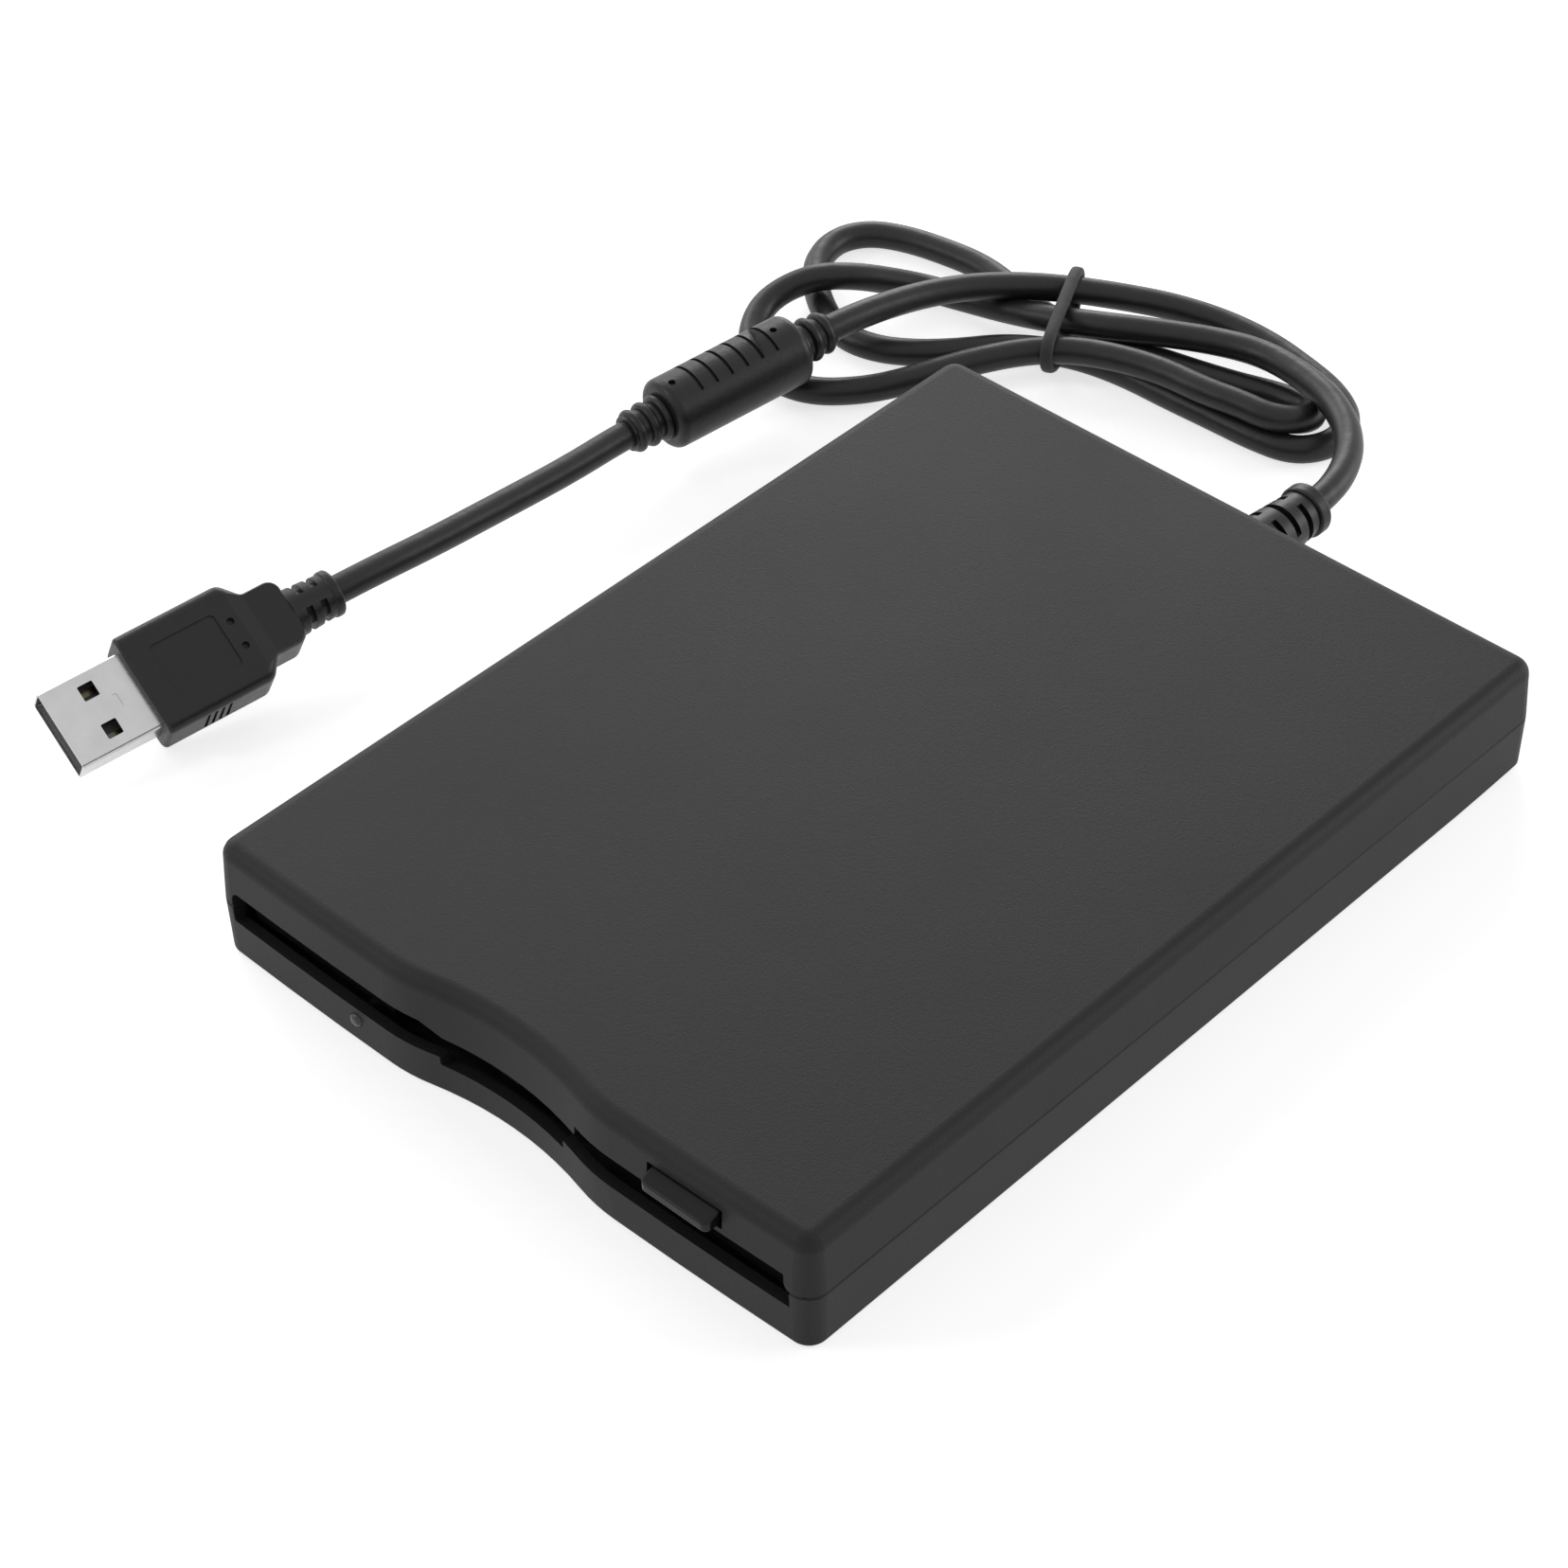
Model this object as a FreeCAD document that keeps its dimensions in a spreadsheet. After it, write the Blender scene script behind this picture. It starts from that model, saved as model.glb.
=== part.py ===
import FreeCAD, Part
import math
import os
import re

from FreeCAD import Placement, Rotation, Vector

# External 3.5-inch floppy disk drive with its coiled USB cord.
# Millimetres.  Origin: centre of the casing's footprint on the table.
# +X to the right seen from the disk slot, +Y to the cord, +Z up.

SIZES = {
    # Casing, outside.
    "casing_width": 103.0,
    "casing_depth": 142.0,
    "casing_height": 18.0,
    "parting_height": 8.8,
    "cover_draft": 2.8,
    "base_draft": 1.9,
    "wall": 1.6,
    "corner_radius": 3.0,
    "top_edge_radius": 2.2,
    "bottom_edge_radius": 0.8,
    "parting_chamfer": 0.25,
    "front_crown": 0.5,
    "ramp_length": 26.0,
    "ramp_rise": 1.2,
    # Finger bay in the middle of the front.
    "bay_depth": 2.4,
    "bay_hollow_radius": 53.6,
    "bay_shoulder_radius": 26.8,
    # Disk slot, button hole and lens in the front.  The slot's ends are given
    # from the casing's sides.
    "slot_left": 3.2,
    "slot_right": 4.2,
    "slot_bottom": 6.3,
    "slot_top": 11.3,
    "slot_lean": 0.9,
    "slot_corner": 1.5,
    "apron_left": -10.6,
    "apron_right": 12.9,
    "apron_bottom": 9.9,
    "notch_left": -11.2,
    "notch_right": 10.0,
    "notch_bottom": 5.0,
    "button_x": 31.8,
    "button_width": 11.0,
    "button_height": 2.3,
    "button_overhang": 1.8,
    "button_slope": 0.9,
    "button_corner": 1.0,
    "button_rim": 0.35,
    "button_gap": 0.5,
    "bar_height": 0.7,
    "lens_x": -25.3,
    "lens_z": 4.2,
    "lens_radius": 1.0,
    "lens_rise": 0.35,
    "lens_round": 0.7,
    "led_width": 2.4,
    "led_depth": 1.5,
    "led_height": 2.0,
    # Flaps that close the slot.  Their outer ends are given from the casing's
    # sides and their axis from its front.
    "flap_inner": 20.9,
    "flap_outer": 4.6,
    "flap_sheet": 0.8,
    "flap_axis_y": 3.3,
    "flap_axis_z": 11.75,
    "flap_bottom": 6.15,
    "flap_pin_radius": 0.35,
    "flap_ear": 1.4,
    "flap_ear_depth": 1.8,
    "flap_ear_reach": 3.0,
    "cheek_width": 2.0,
    "cheek_depth": 2.7,
    # The disk that the drive takes, and how far it drops onto the spindle.
    "disk_width": 90.0,
    "disk_thickness": 3.3,
    "disk_ready_z": 6.4,
    "disk_drop": 2.0,
    "disk_rear": 26.5,
    "disk_headroom": 0.75,
    # Sheet-metal frame, disk carrier and eject plate.  Front ends are given from
    # the casing's front, the frame's rear end from its rear.
    "sheet_thickness": 0.6,
    "side_gap": 0.4,
    "level_gap": 0.25,
    "frame_room": 1.9,
    "frame_floor_z": 2.6,
    "frame_front": 7.0,
    "frame_rear": 9.0,
    "frame_wall_top": 13.8,
    "carrier_front": 9.6,
    "carrier_flange": 5.0,
    "stud_radius": 0.9,
    "stud_front_y": -45.0,
    "stud_rear_y": 5.0,
    "stud_height": 2.0,
    "slot_play": 0.1,
    "eject_travel": 4.0,
    "plate_front": 12.0,
    "plate_rear": 28.5,
    "plate_flange_front": 7.0,
    "plate_flange_rear": 8.0,
    "head_notch_half": 8.0,
    "head_notch_front": 5.2,
    "window_half": 22.0,
    "window_front": -50.0,
    "window_rear": -11.0,
    # Latch lever.
    "lever_x": -34.0,
    "lever_y": 31.0,
    "lever_reach": 24.0,
    "lever_rest": -55.0,
    "lever_swing": 47.0,
    "lever_sheet": 0.4,
    "lever_pin_radius": 1.2,
    "lever_pin_bottom": 7.6,
    "lever_post_radius": 1.5,
    "lever_spring_wire": 0.3,
    # Spindle motor.
    "spindle_y": -19.5,
    "rotor_radius": 24.0,
    "rotor_top": 4.1,
    "rotor_gap": 0.5,
    "rotor_skirt": 0.8,
    "magnet_width": 1.8,
    "hub_radius": 12.0,
    "hub_sheet": 0.4,
    "hub_pin_radius": 1.9,
    "hub_pin_top": 5.7,
    "drive_pin_offset": 9.6,
    "drive_pin_radius": 0.9,
    "shaft_radius": 1.0,
    "bearing_radius": 2.4,
    "coil_circle": 15.0,
    "coil_radius": 2.9,
    "coil_height": 0.8,
    "board_thickness": 0.6,
    # Head carriage with its rod, screw and arm.  The rear tab, the motor and the
    # arm's hinge are given from the casing's rear.
    "head_y": 20.0,
    "head_travel": 14.8,
    "rod_x": 12.0,
    "rod_z": 6.0,
    "rod_radius": 1.5,
    "rod_front": 27.0,
    "rod_tab_front": 27.4,
    "rod_tab_rear": 10.0,
    "sleeve_radius": 2.5,
    "sleeve_length": 14.0,
    "screw_x": -16.0,
    "screw_z": 7.4,
    "screw_radius": 1.5,
    "journal_radius": 0.8,
    "nut_radius": 2.4,
    "motor_front": 24.4,
    "motor_length": 13.0,
    "motor_radius": 4.1,
    "motor_flange": 12.0,
    "running_gap": 0.05,
    "head_top": 6.0,
    "head_half": 2.2,
    "head_depth": 3.6,
    "arm_y": 23.0,
    "arm_z": 9.2,
    "arm_lift": 9.0,
    "arm_half_width": 4.0,
    "arm_sheet": 0.8,
    "arm_pin_radius": 0.8,
    # Boards, from the frame's walls, the lever's post and the casing's rear.
    "side_board_inner": 24.0,
    "side_board_outer": 1.4,
    "side_board_front": 4.5,
    "side_board_rear": 17.0,
    "board_stand": 0.4,
    "stand_radius": 1.2,
    "chip_margin": 4.0,
    "chip_side": 9.0,
    "chip_height": 1.2,
    "header_width": 10.0,
    "header_depth": 4.5,
    "header_height": 4.0,
    "header_edge": 0.5,
    # Switches, from the disk's edges and the casing's front.
    "switch_x": 7.5,
    "third_switch_x": 21.0,
    "switch_y": 13.0,
    "switch_case": 5.0,
    "switch_case_height": 1.0,
    "plunger_radius": 0.6,
    "plunger_top": 5.2,
    "plunger_length": 2.4,
    # Screws and pads, from the casing's sides, front and rear; the frame's front
    # screws stand behind the switches.
    "frame_screw_x": 19.5,
    "frame_screw_front": 6.5,
    "frame_screw_rear": 13.0,
    "cover_screw_x": 7.5,
    "cover_screw_y": 5.8,
    "cover_screw_seat": 4.0,
    "cover_screw_grip": 4.5,
    "screw_shank": 1.0,
    "screw_head": 2.0,
    "post_margin": 0.5,
    "tower_wall": 1.0,
    "head_play": 0.2,
    "shank_play": 0.15,
    "pad_radius": 4.5,
    "pad_thickness": 0.8,
    "pad_x": 10.5,
    "pad_front": 13.0,
    "pad_rear": 33.0,
    # Cord and the boot that holds it at the rear.
    "cord_radius": 2.1,
    "boot_x": 2.3,
    "boot_z": 9.0,
    "boot_root": 4.7,
    "boot_end": 3.5,
    "boot_length": 15.0,
    "boot_collar": 2.2,
    "boot_collar_rise": 0.45,
    "boot_flange_rise": 1.2,
    "boot_slot": 1.1,
    "boot_slot_pitch": 2.9,
    "boot_web": 1.1,
    "hank_low": 0.05,
    "hank_middle": 4.3,
    "hank_high": 8.5,
    "tie_half": 11.0,
    "tie_width": 1.8,
    "tie_thickness": 1.2,
    # Filter bead on the cord.
    "bead_radius": 5.45,
    "bead_length": 24.4,
    "bead_edge": 1.3,
    "bead_groove": 0.55,
    "bead_groove_depth": 0.45,
    "bead_groove_half": 3.5,
    "bead_groove_pitch": 2.75,
    "core_radius": 4.3,
    "core_bore": 2.7,
    "core_length": 20.0,
    "collar_length": 6.2,
    "collar_radius": 3.6,
    "collar_taper": 0.15,
    "collar_wall": 0.6,
    "collar_ring": 0.75,
    "collar_ring_first": 0.45,
    "collar_ring_pitch": 2.3,
    "pin_dot_radius": 0.55,
    "pin_dot_depth": 0.6,
    # USB plug.
    "plug_width": 15.5,
    "plug_height": 8.0,
    "plug_edge": 1.5,
    "plug_front_edge": 0.6,
    "shoulder_round": 1.9,
    "shoulder_hollow": 1.0,
    "plug_length": 16.6,
    "shoulder_end": 18.9,
    "neck_width": 10.0,
    "neck_height": 7.0,
    "neck_end": 24.2,
    "plug_boot_end": 31.5,
    "shell_width": 12.0,
    "shell_height": 4.5,
    "shell_sheet": 0.3,
    "shell_reach": 12.4,
    "shell_seat": 5.0,
    "shell_window": 2.3,
    "shell_window_y": 3.05,
    "shell_window_x": 6.2,
    "shell_eye_x": 8.9,
    "shell_corner": 0.6,
    "tongue_play": 0.1,
    "recess_front": 3.4,
    "recess_rear": 2.9,
    "recess_side": 3.6,
    "recess_depth": 0.2,
    "plug_dot_x": 15.3,
    "plug_dot_y": 1.97,
    "rib_first": 6.0,
    "rib_pitch": 1.15,
    "rib_width": 0.5,
    "rib_depth": 0.3,
}

doc = FreeCAD.newDocument("ExternalDiskDrive")
sheet = doc.addObject("Spreadsheet::Sheet", "Sizes")
for row, (alias, number) in enumerate(SIZES.items(), start=1):
    sheet.set(f"A{row}", alias)
    sheet.set(f"B{row}", str(number))
    sheet.setAlias(f"B{row}", alias)
doc.recompute()


class Reader:
    """Gives a driving dimension of the spreadsheet as an attribute."""

    def __getattr__(self, alias):
        return float(sheet.get(alias))


size = Reader()
nodes = []

# Faces and levels that several pieces share, as spreadsheet expressions: the
# casing's front, rear and side, then the folded sheets one inside the other.
FRONT = "(-casing_depth / 2)"
REAR = "(casing_depth / 2)"
SIDE = "(casing_width / 2)"
FRAME_OUT = f"({SIDE} - wall - frame_room)"
FRAME_IN = f"({FRAME_OUT} - sheet_thickness)"
PLATE_OUT = f"({FRAME_IN} - side_gap)"
PLATE_IN = f"({PLATE_OUT} - sheet_thickness)"
CARRIER_OUT = f"({PLATE_IN} - side_gap)"
CARRIER_IN = f"({CARRIER_OUT} - sheet_thickness)"
FLAP_OUT = f"({SIDE} - flap_outer)"
FLAP_Y = f"({FRONT} + flap_axis_y)"
FRAME_FRONT = f"({FRONT} + frame_front)"
FRAME_REAR = f"({REAR} - frame_rear)"
PLATE_FRONT = f"({FRONT} + plate_front)"
FLANGE_FRONT = "(stud_front_y - plate_flange_front)"
FLANGE_REAR = "(stud_rear_y + plate_flange_rear)"
MOTOR_FRONT = f"({REAR} - motor_front)"
NOTCH_FRONT = "(head_y - head_travel - head_notch_front)"
ARM_Y = f"({REAR} - arm_y)"
BOARD_OUT = f"({FRAME_IN} - side_board_outer)"
BOARD_FRONT = "(lever_y + side_board_front)"
BOARD_REAR = f"({REAR} - side_board_rear)"
SWITCH_X = "(disk_width / 2 - switch_x)"
THIRD_SWITCH_X = "(disk_width / 2 - third_switch_x)"
SWITCH_Y = f"({FRONT} + switch_y)"
FRAME_SCREW_X = f"({SIDE} - frame_screw_x)"
FRAME_SCREW_FRONT = f"({SWITCH_Y} + frame_screw_front)"
FRAME_SCREW_REAR = f"({REAR} - frame_screw_rear)"
COVER_SCREW_X = f"({SIDE} - cover_screw_x)"
COVER_SCREW_Y = f"({REAR} - cover_screw_y)"
PAD_X = f"({SIDE} - pad_x)"
PAD_FRONT = f"({FRONT} + pad_front)"
PAD_REAR = f"({REAR} - pad_rear)"
FRAME_TOP = "frame_floor_z + sheet_thickness"
CARRIER_TOP_LOW = "disk_ready_z + disk_thickness + disk_headroom"
CARRIER_TOP = f"{CARRIER_TOP_LOW} + sheet_thickness"
FLANGE_TOP = "disk_ready_z - 0.1"
LEVER_LOW = f"{CARRIER_TOP} + level_gap"
LEVER_TOP = f"{LEVER_LOW} + lever_sheet"
PLATE_LOW = f"{LEVER_TOP} + level_gap"
PLATE_TOP = f"{PLATE_LOW} + sheet_thickness"
STUD_Z = f"{FLANGE_TOP} + stud_height"
BOARD_LOW = "frame_floor_z - board_thickness"
SIDE_BOARD_LOW = f"{FRAME_TOP} + board_stand"
SIDE_BOARD_TOP = f"{SIDE_BOARD_LOW} + board_thickness"

AXIS_TURN = {
    "X": Rotation(Vector(0, 1, 0), 90),
    "Y": Rotation(Vector(1, 0, 0), -90),
    "Z": Rotation(),
}


def bound(text):
    """Point each size name in an expression at its cell of the spreadsheet."""
    def point(word):
        return f"Sizes.{word.group()}" if word.group() in SIZES else word.group()
    return re.sub(r"[a-z_]+", point, text)


def worth(text):
    """Number that an expression of the spreadsheet's sizes comes to."""
    return float(sheet.evalExpression(bound(text)))


def block(name, x, y, z):
    """Box between a low and a high limit on each axis, all of them expressions."""
    box = doc.addObject("Part::Box", name)
    sides = ("Length", "Width", "Height")
    for side, axis, (low, high) in zip(sides, "xyz", (x, y, z)):
        box.setExpression(side, bound(f"({high}) - ({low})"))
        box.setExpression(f"Placement.Base.{axis}", bound(low))
    return box


def rod(name, radius, centre, reach, axis="Z"):
    """Cylinder along an axis; centre gives the two other coordinates, reach its ends."""
    low, high = reach
    bar = doc.addObject("Part::Cylinder", name)
    bar.Placement.Rotation = AXIS_TURN[axis]
    bar.setExpression("Radius", bound(radius))
    bar.setExpression("Height", bound(f"({high}) - ({low})"))
    place = list(centre)
    place.insert("XYZ".index(axis), low)
    for letter, text in zip("xyz", place):
        bar.setExpression(f"Placement.Base.{letter}", bound(text))
    return bar


def cone(name, radii, centre, reach, axis="Z"):
    """Cone between two radii along an axis."""
    low, high = reach
    taper = doc.addObject("Part::Cone", name)
    taper.Placement.Rotation = AXIS_TURN[axis]
    taper.setExpression("Radius1", bound(radii[0]))
    taper.setExpression("Radius2", bound(radii[1]))
    taper.setExpression("Height", bound(f"({high}) - ({low})"))
    place = list(centre)
    place.insert("XYZ".index(axis), low)
    for letter, text in zip("xyz", place):
        taper.setExpression(f"Placement.Base.{letter}", bound(text))
    return taper


def fuse(name, *pieces):
    """One solid out of several."""
    joined = doc.addObject("Part::MultiFuse", name)
    joined.Shapes = list(pieces)
    return joined


def cut(name, base, *tools):
    """A solid with one or more others taken out of it."""
    result = doc.addObject("Part::Cut", name)
    result.Base = base
    result.Tool = tools[0] if len(tools) == 1 else fuse(f"{name}_tools", *tools)
    return result


def group(name, *pieces):
    """Separate like solids that share one node."""
    many = doc.addObject("Part::Compound", name)
    many.Links = list(pieces)
    return many


def softened(name, turned, radius):
    """A turned piece with its circular edges rounded."""
    doc.recompute()
    soft = doc.addObject("Part::Fillet", name)
    soft.Base = turned
    soft.Edges = [(i, radius, radius)
                  for i, edge in enumerate(turned.Shape.Edges, 1) if edge.Closed]
    return soft


def node(label, obj):
    """Name a finished piece; its label is also its file's name."""
    obj.Label = label
    nodes.append(obj)
    return obj


def mirrored(text):
    """Expression of the opposite sign."""
    return f"-({text})"


def both_sides(name, x, y, z):
    """The same box on the right and on the left."""
    low, high = x
    right = block(f"{name}_right", (low, high), y, z)
    left = block(f"{name}_left", (mirrored(high), mirrored(low)), y, z)
    return right, left


def body_for(name):
    return doc.addObject("PartDesign::Body", name)


def draw(body, name, plane, curves, offset="0"):
    """Sketch on one of a body's own origin planes, moved along its normal."""
    sketch = body.newObject("Sketcher::SketchObject", name)
    support = next(part for part in body.Origin.OriginFeatures if part.Role == plane)
    sketch.AttachmentSupport = (support, [""])
    sketch.MapMode = "FlatFace"
    sketch.setExpression("AttachmentOffset.Base.z", bound(offset))
    for curve in curves:
        sketch.addGeometry(curve, False)
    return sketch


def feature(body, kind, name, profile, **settings):
    """PartDesign feature of a sketch; text settings are spreadsheet expressions."""
    made = body.newObject(f"PartDesign::{kind}", name)
    made.Profile = profile
    for key, setting in settings.items():
        if isinstance(setting, str):
            made.setExpression(key, bound(setting))
        else:
            setattr(made, key, setting)
    profile.Visibility = False
    return made


def dress(body, kind, name, test, radius):
    """Fillet or chamfer on the edges of a body's last feature that pass a test."""
    doc.recompute()
    base = body.Tip
    dressed = body.newObject(f"PartDesign::{kind}", name)
    dressed.Base = (base, edges_where(base, test))
    dressed.setExpression("Radius" if kind == "Fillet" else "Size", bound(radius))


def rounded_loop(corners):
    """Closed loop through (x, y, radius) corners: straight runs and tangent arcs."""
    points = [Vector(x, y, 0) for x, y, _ in corners]
    starts = []
    ends = []
    curves = []
    for index, (_, _, radius) in enumerate(corners):
        here = points[index]
        back = (points[index - 1] - here).normalize()
        ahead = (points[(index + 1) % len(points)] - here).normalize()
        half = back.getAngle(ahead) / 2
        run = radius / math.tan(half) if radius else 0.0
        starts.append(here + back * run)
        ends.append(here + ahead * run)
        if radius:
            middle_way = (back + ahead).normalize()
            middle = here + middle_way * (radius / math.sin(half) - radius)
            curves.append(Part.Arc(starts[-1], middle, ends[-1]))
    for index, start in enumerate(ends):
        finish = starts[(index + 1) % len(starts)]
        if (finish - start).Length > 1e-6:
            curves.append(Part.LineSegment(start, finish))
    return curves


def rectangle(x_low, x_high, y_low, y_high, radius=0.0):
    """Rectangle with equal corner radii."""
    corners = ((x_low, y_low), (x_high, y_low), (x_high, y_high), (x_low, y_high))
    return rounded_loop([(x, y, radius) for x, y in corners])


def circle(x, y, radius):
    return [Part.Circle(Vector(x, y, 0), Vector(0, 0, 1), radius)]


def mirror_spots(x, *rows):
    """Places to the left and right of the middle, on one or more rows."""
    return [(sign * worth(x), worth(y)) for sign in (-1, 1) for y in rows]


def circles(spots, radius):
    """Equal circles round several places."""
    return [ring for x, y in spots for ring in circle(x, y, radius)]


def edges_where(obj, test):
    """Names of an object's edges that pass a test."""
    return [f"Edge{i}" for i, edge in enumerate(obj.Shape.Edges, 1) if test(edge)]


def flat_at(height):
    """Test for edges that lie at one height."""
    def test(edge):
        box = edge.BoundBox
        return abs(box.ZMin - height) < 1e-4 and abs(box.ZMax - height) < 1e-4
    return test


# --- Casing outline -------------------------------------------------------
# Four rounded corners, a slightly crowned front and a finger bay in its middle.
# Every arc keeps its centre as the outline shrinks, so walls stay even.

def casing_outline(inset):
    half = size.casing_width / 2
    rear = size.casing_depth / 2
    front = -rear
    corner = size.corner_radius
    hollow = size.bay_hollow_radius
    shoulder = size.bay_shoulder_radius
    turn = math.acos(1 - size.bay_depth / (hollow + shoulder))
    bay_half = (hollow + shoulder) * math.sin(turn)
    span = half - corner - bay_half
    crown = (span ** 2 + size.front_crown ** 2) / (2 * size.front_crown)
    crown_y = front + crown
    corner_x = half - corner
    corner_y = crown_y - math.sqrt((crown - corner) ** 2 - (corner_x - bay_half) ** 2)
    meet = math.atan2(corner_y - crown_y, corner_x - bay_half)
    down = -math.pi / 2

    def arc(x, y, radius, start, end):
        ring = Part.Circle(Vector(x, y, 0), Vector(0, 0, 1), radius)
        return Part.ArcOfCircle(ring, start, end)

    def line(x1, y1, x2, y2):
        return Part.LineSegment(Vector(x1, y1, 0), Vector(x2, y2, 0))

    side = half - inset
    return [
        line(corner_x, rear - inset, -corner_x, rear - inset),
        arc(-corner_x, rear - corner, corner - inset, math.pi / 2, math.pi),
        line(-side, rear - corner, -side, corner_y),
        arc(-corner_x, corner_y, corner - inset, math.pi, math.pi - meet),
        arc(-bay_half, crown_y, crown - inset, -math.pi - meet, down),
        arc(-bay_half, front + shoulder, shoulder - inset, down, down + turn),
        arc(0, front + size.bay_depth - hollow, hollow + inset,
            math.pi / 2 - turn, math.pi / 2 + turn),
        arc(bay_half, front + shoulder, shoulder - inset, down - turn, down),
        arc(bay_half, crown_y, crown - inset, down, meet),
        arc(corner_x, corner_y, corner - inset, meet, 0),
        line(side, corner_y, side, rear - corner),
        arc(corner_x, rear - corner, corner - inset, 0, math.pi / 2),
    ]


def cheeks(left, right):
    """Outlines of the posts behind the front wall at the slot's two ends."""
    low = 1 - size.casing_depth / 2
    high = size.cheek_depth - size.casing_depth / 2
    return (rectangle(left - size.cheek_width, left, low, high)
            + rectangle(right, right + size.cheek_width, low, high))


# --- Lower half of the casing ---------------------------------------------

def base_shell():
    body = body_for("BaseShell")
    parting = size.parting_height
    depth = size.casing_depth / 2
    rim = draw(body, "BaseRim", "XY_Plane", casing_outline(0), "parting_height")
    feature(body, "Pad", "BaseSkin", rim, Reversed=True, Length="parting_height",
            TaperAngle="-base_draft")
    dress(body, "Fillet", "BaseEdge", flat_at(0), "bottom_edge_radius")
    dress(body, "Chamfer", "BaseBevel", flat_at(parting), "parting_chamfer")
    # Hollow, with posts for the frame and round the cover's screws.
    wall = size.wall
    mouth = draw(body, "BaseMouth", "XY_Plane", casing_outline(wall), "parting_height")
    feature(body, "Pocket", "BaseHollow", mouth, Length="parting_height - wall",
            TaperAngle="-base_draft")
    frame_spots = mirror_spots(FRAME_SCREW_X, FRAME_SCREW_FRONT, FRAME_SCREW_REAR)
    cover_spots = mirror_spots(COVER_SCREW_X, COVER_SCREW_Y)
    posts = circles(frame_spots, size.screw_head + size.post_margin)
    stand = draw(body, "FramePosts", "XY_Plane", posts, "wall - 0.2")
    feature(body, "Pad", "FramePostPad", stand, Length="frame_floor_z - wall + 0.2")
    # The underside rises towards the rear, and the floor above it with it.
    start = depth - size.ramp_length
    rise = size.ramp_rise
    slope = [(start, wall - 0.2, 0), (depth - wall + 0.3, wall - 0.2, 0),
             (depth - wall + 0.3, wall + rise, 0), (start, wall, 0)]
    fill = draw(body, "RampFloor", "YZ_Plane", rounded_loop(slope))
    feature(body, "Pad", "RampFloorPad", fill, Midplane=True,
            Length="casing_width - 2 * wall - 0.2")
    tower = draw(body, "ScrewTowers", "XY_Plane",
                 circles(cover_spots, size.screw_head + size.tower_wall), "wall")
    feature(body, "Pad", "ScrewTowerPad", tower, Length="parting_height - wall")
    under = [(start, 0, 0), (depth + 1, rise * (depth + 1 - start) / size.ramp_length, 0),
             (depth + 1, -1, 0), (start, -1, 0)]
    ramp = draw(body, "Ramp", "YZ_Plane", rounded_loop(under))
    feature(body, "Pocket", "RampPocket", ramp, Midplane=True, Length="casing_width + 10")
    # Screw holes: heads sunk from below, shanks through.
    head = draw(body, "HeadHoles", "XY_Plane",
                circles(cover_spots, size.screw_head + size.head_play), "cover_screw_seat")
    feature(body, "Pocket", "HeadPocket", head, Length="2 * cover_screw_seat")
    shank = draw(body, "ShankHoles", "XY_Plane",
                 circles(cover_spots, size.screw_shank + size.shank_play), "parting_height + 1")
    feature(body, "Pocket", "ShankPocket", shank, Length="parting_height + 2")
    pilot = draw(body, "PilotHoles", "XY_Plane",
                 circles(frame_spots, size.screw_shank), "frame_floor_z + 1")
    feature(body, "Pocket", "PilotPocket", pilot, Length="frame_floor_z")
    # Seats of the rubber pads.
    seat = draw(body, "PadSeats", "XY_Plane",
                circles(mirror_spots(PAD_X, PAD_FRONT, PAD_REAR), size.pad_radius),
                "pad_thickness")
    feature(body, "Pocket", "PadSeatPocket", seat, Length="pad_thickness + 1")
    # Cheeks thicken the wall where the slot ends.
    left = size.slot_left - size.casing_width / 2
    right = size.casing_width / 2 - size.slot_right + size.slot_lean
    cheek = draw(body, "BaseCheeks", "XY_Plane", cheeks(left, right), "wall - 0.1")
    feature(body, "Pad", "BaseCheekPad", cheek, Length="parting_height - wall + 0.1")
    # Disk slot with the lower notch of the finger bay.
    over = parting + 1
    lip = size.slot_bottom
    step = size.notch_bottom
    slot = [(left, over, 0), (left, lip, 0.4),
            (size.notch_left, lip, 0.15), (size.notch_left, step, 0.3),
            (size.notch_right, step, 0.3), (size.notch_right, lip, 0.15),
            (right, lip, 0.2), (right, over, 0)]
    opening = draw(body, "BaseSlot", "XZ_Plane", rounded_loop(slot), "casing_depth / 2 + 1")
    feature(body, "Pocket", "BaseSlotPocket", opening, Length="bay_depth + wall + 2")
    rest = size.flap_bottom - 0.25
    wings = rectangle(left, -size.flap_inner + 0.5, rest, over)
    wings += rectangle(size.flap_inner - 0.5, right, rest, over)
    rebate = draw(body, "FlapRebate", "XZ_Plane", wings,
                  f"flap_sheet / 2 + 0.15 - {FLAP_Y}")
    feature(body, "Pocket", "FlapRebatePocket", rebate, Length="2")
    # Lens hole in front and the half round seat of the cord's boot behind.
    lens = draw(body, "LensHole", "XZ_Plane",
                circle(size.lens_x, size.lens_z, size.lens_radius + 0.03),
                "casing_depth / 2 + 1")
    feature(body, "Pocket", "LensPocket", lens, Length="wall + 2.5")
    boot = draw(body, "BaseBootSeat", "XZ_Plane",
                circle(size.boot_x, size.boot_z, size.boot_root + 0.05),
                "-(casing_depth / 2 + 1)")
    feature(body, "Pocket", "BaseBootPocket", boot, Reversed=True, Length="wall + 1.5")
    return node("base_shell", body)


# --- Upper half of the casing ---------------------------------------------

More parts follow.
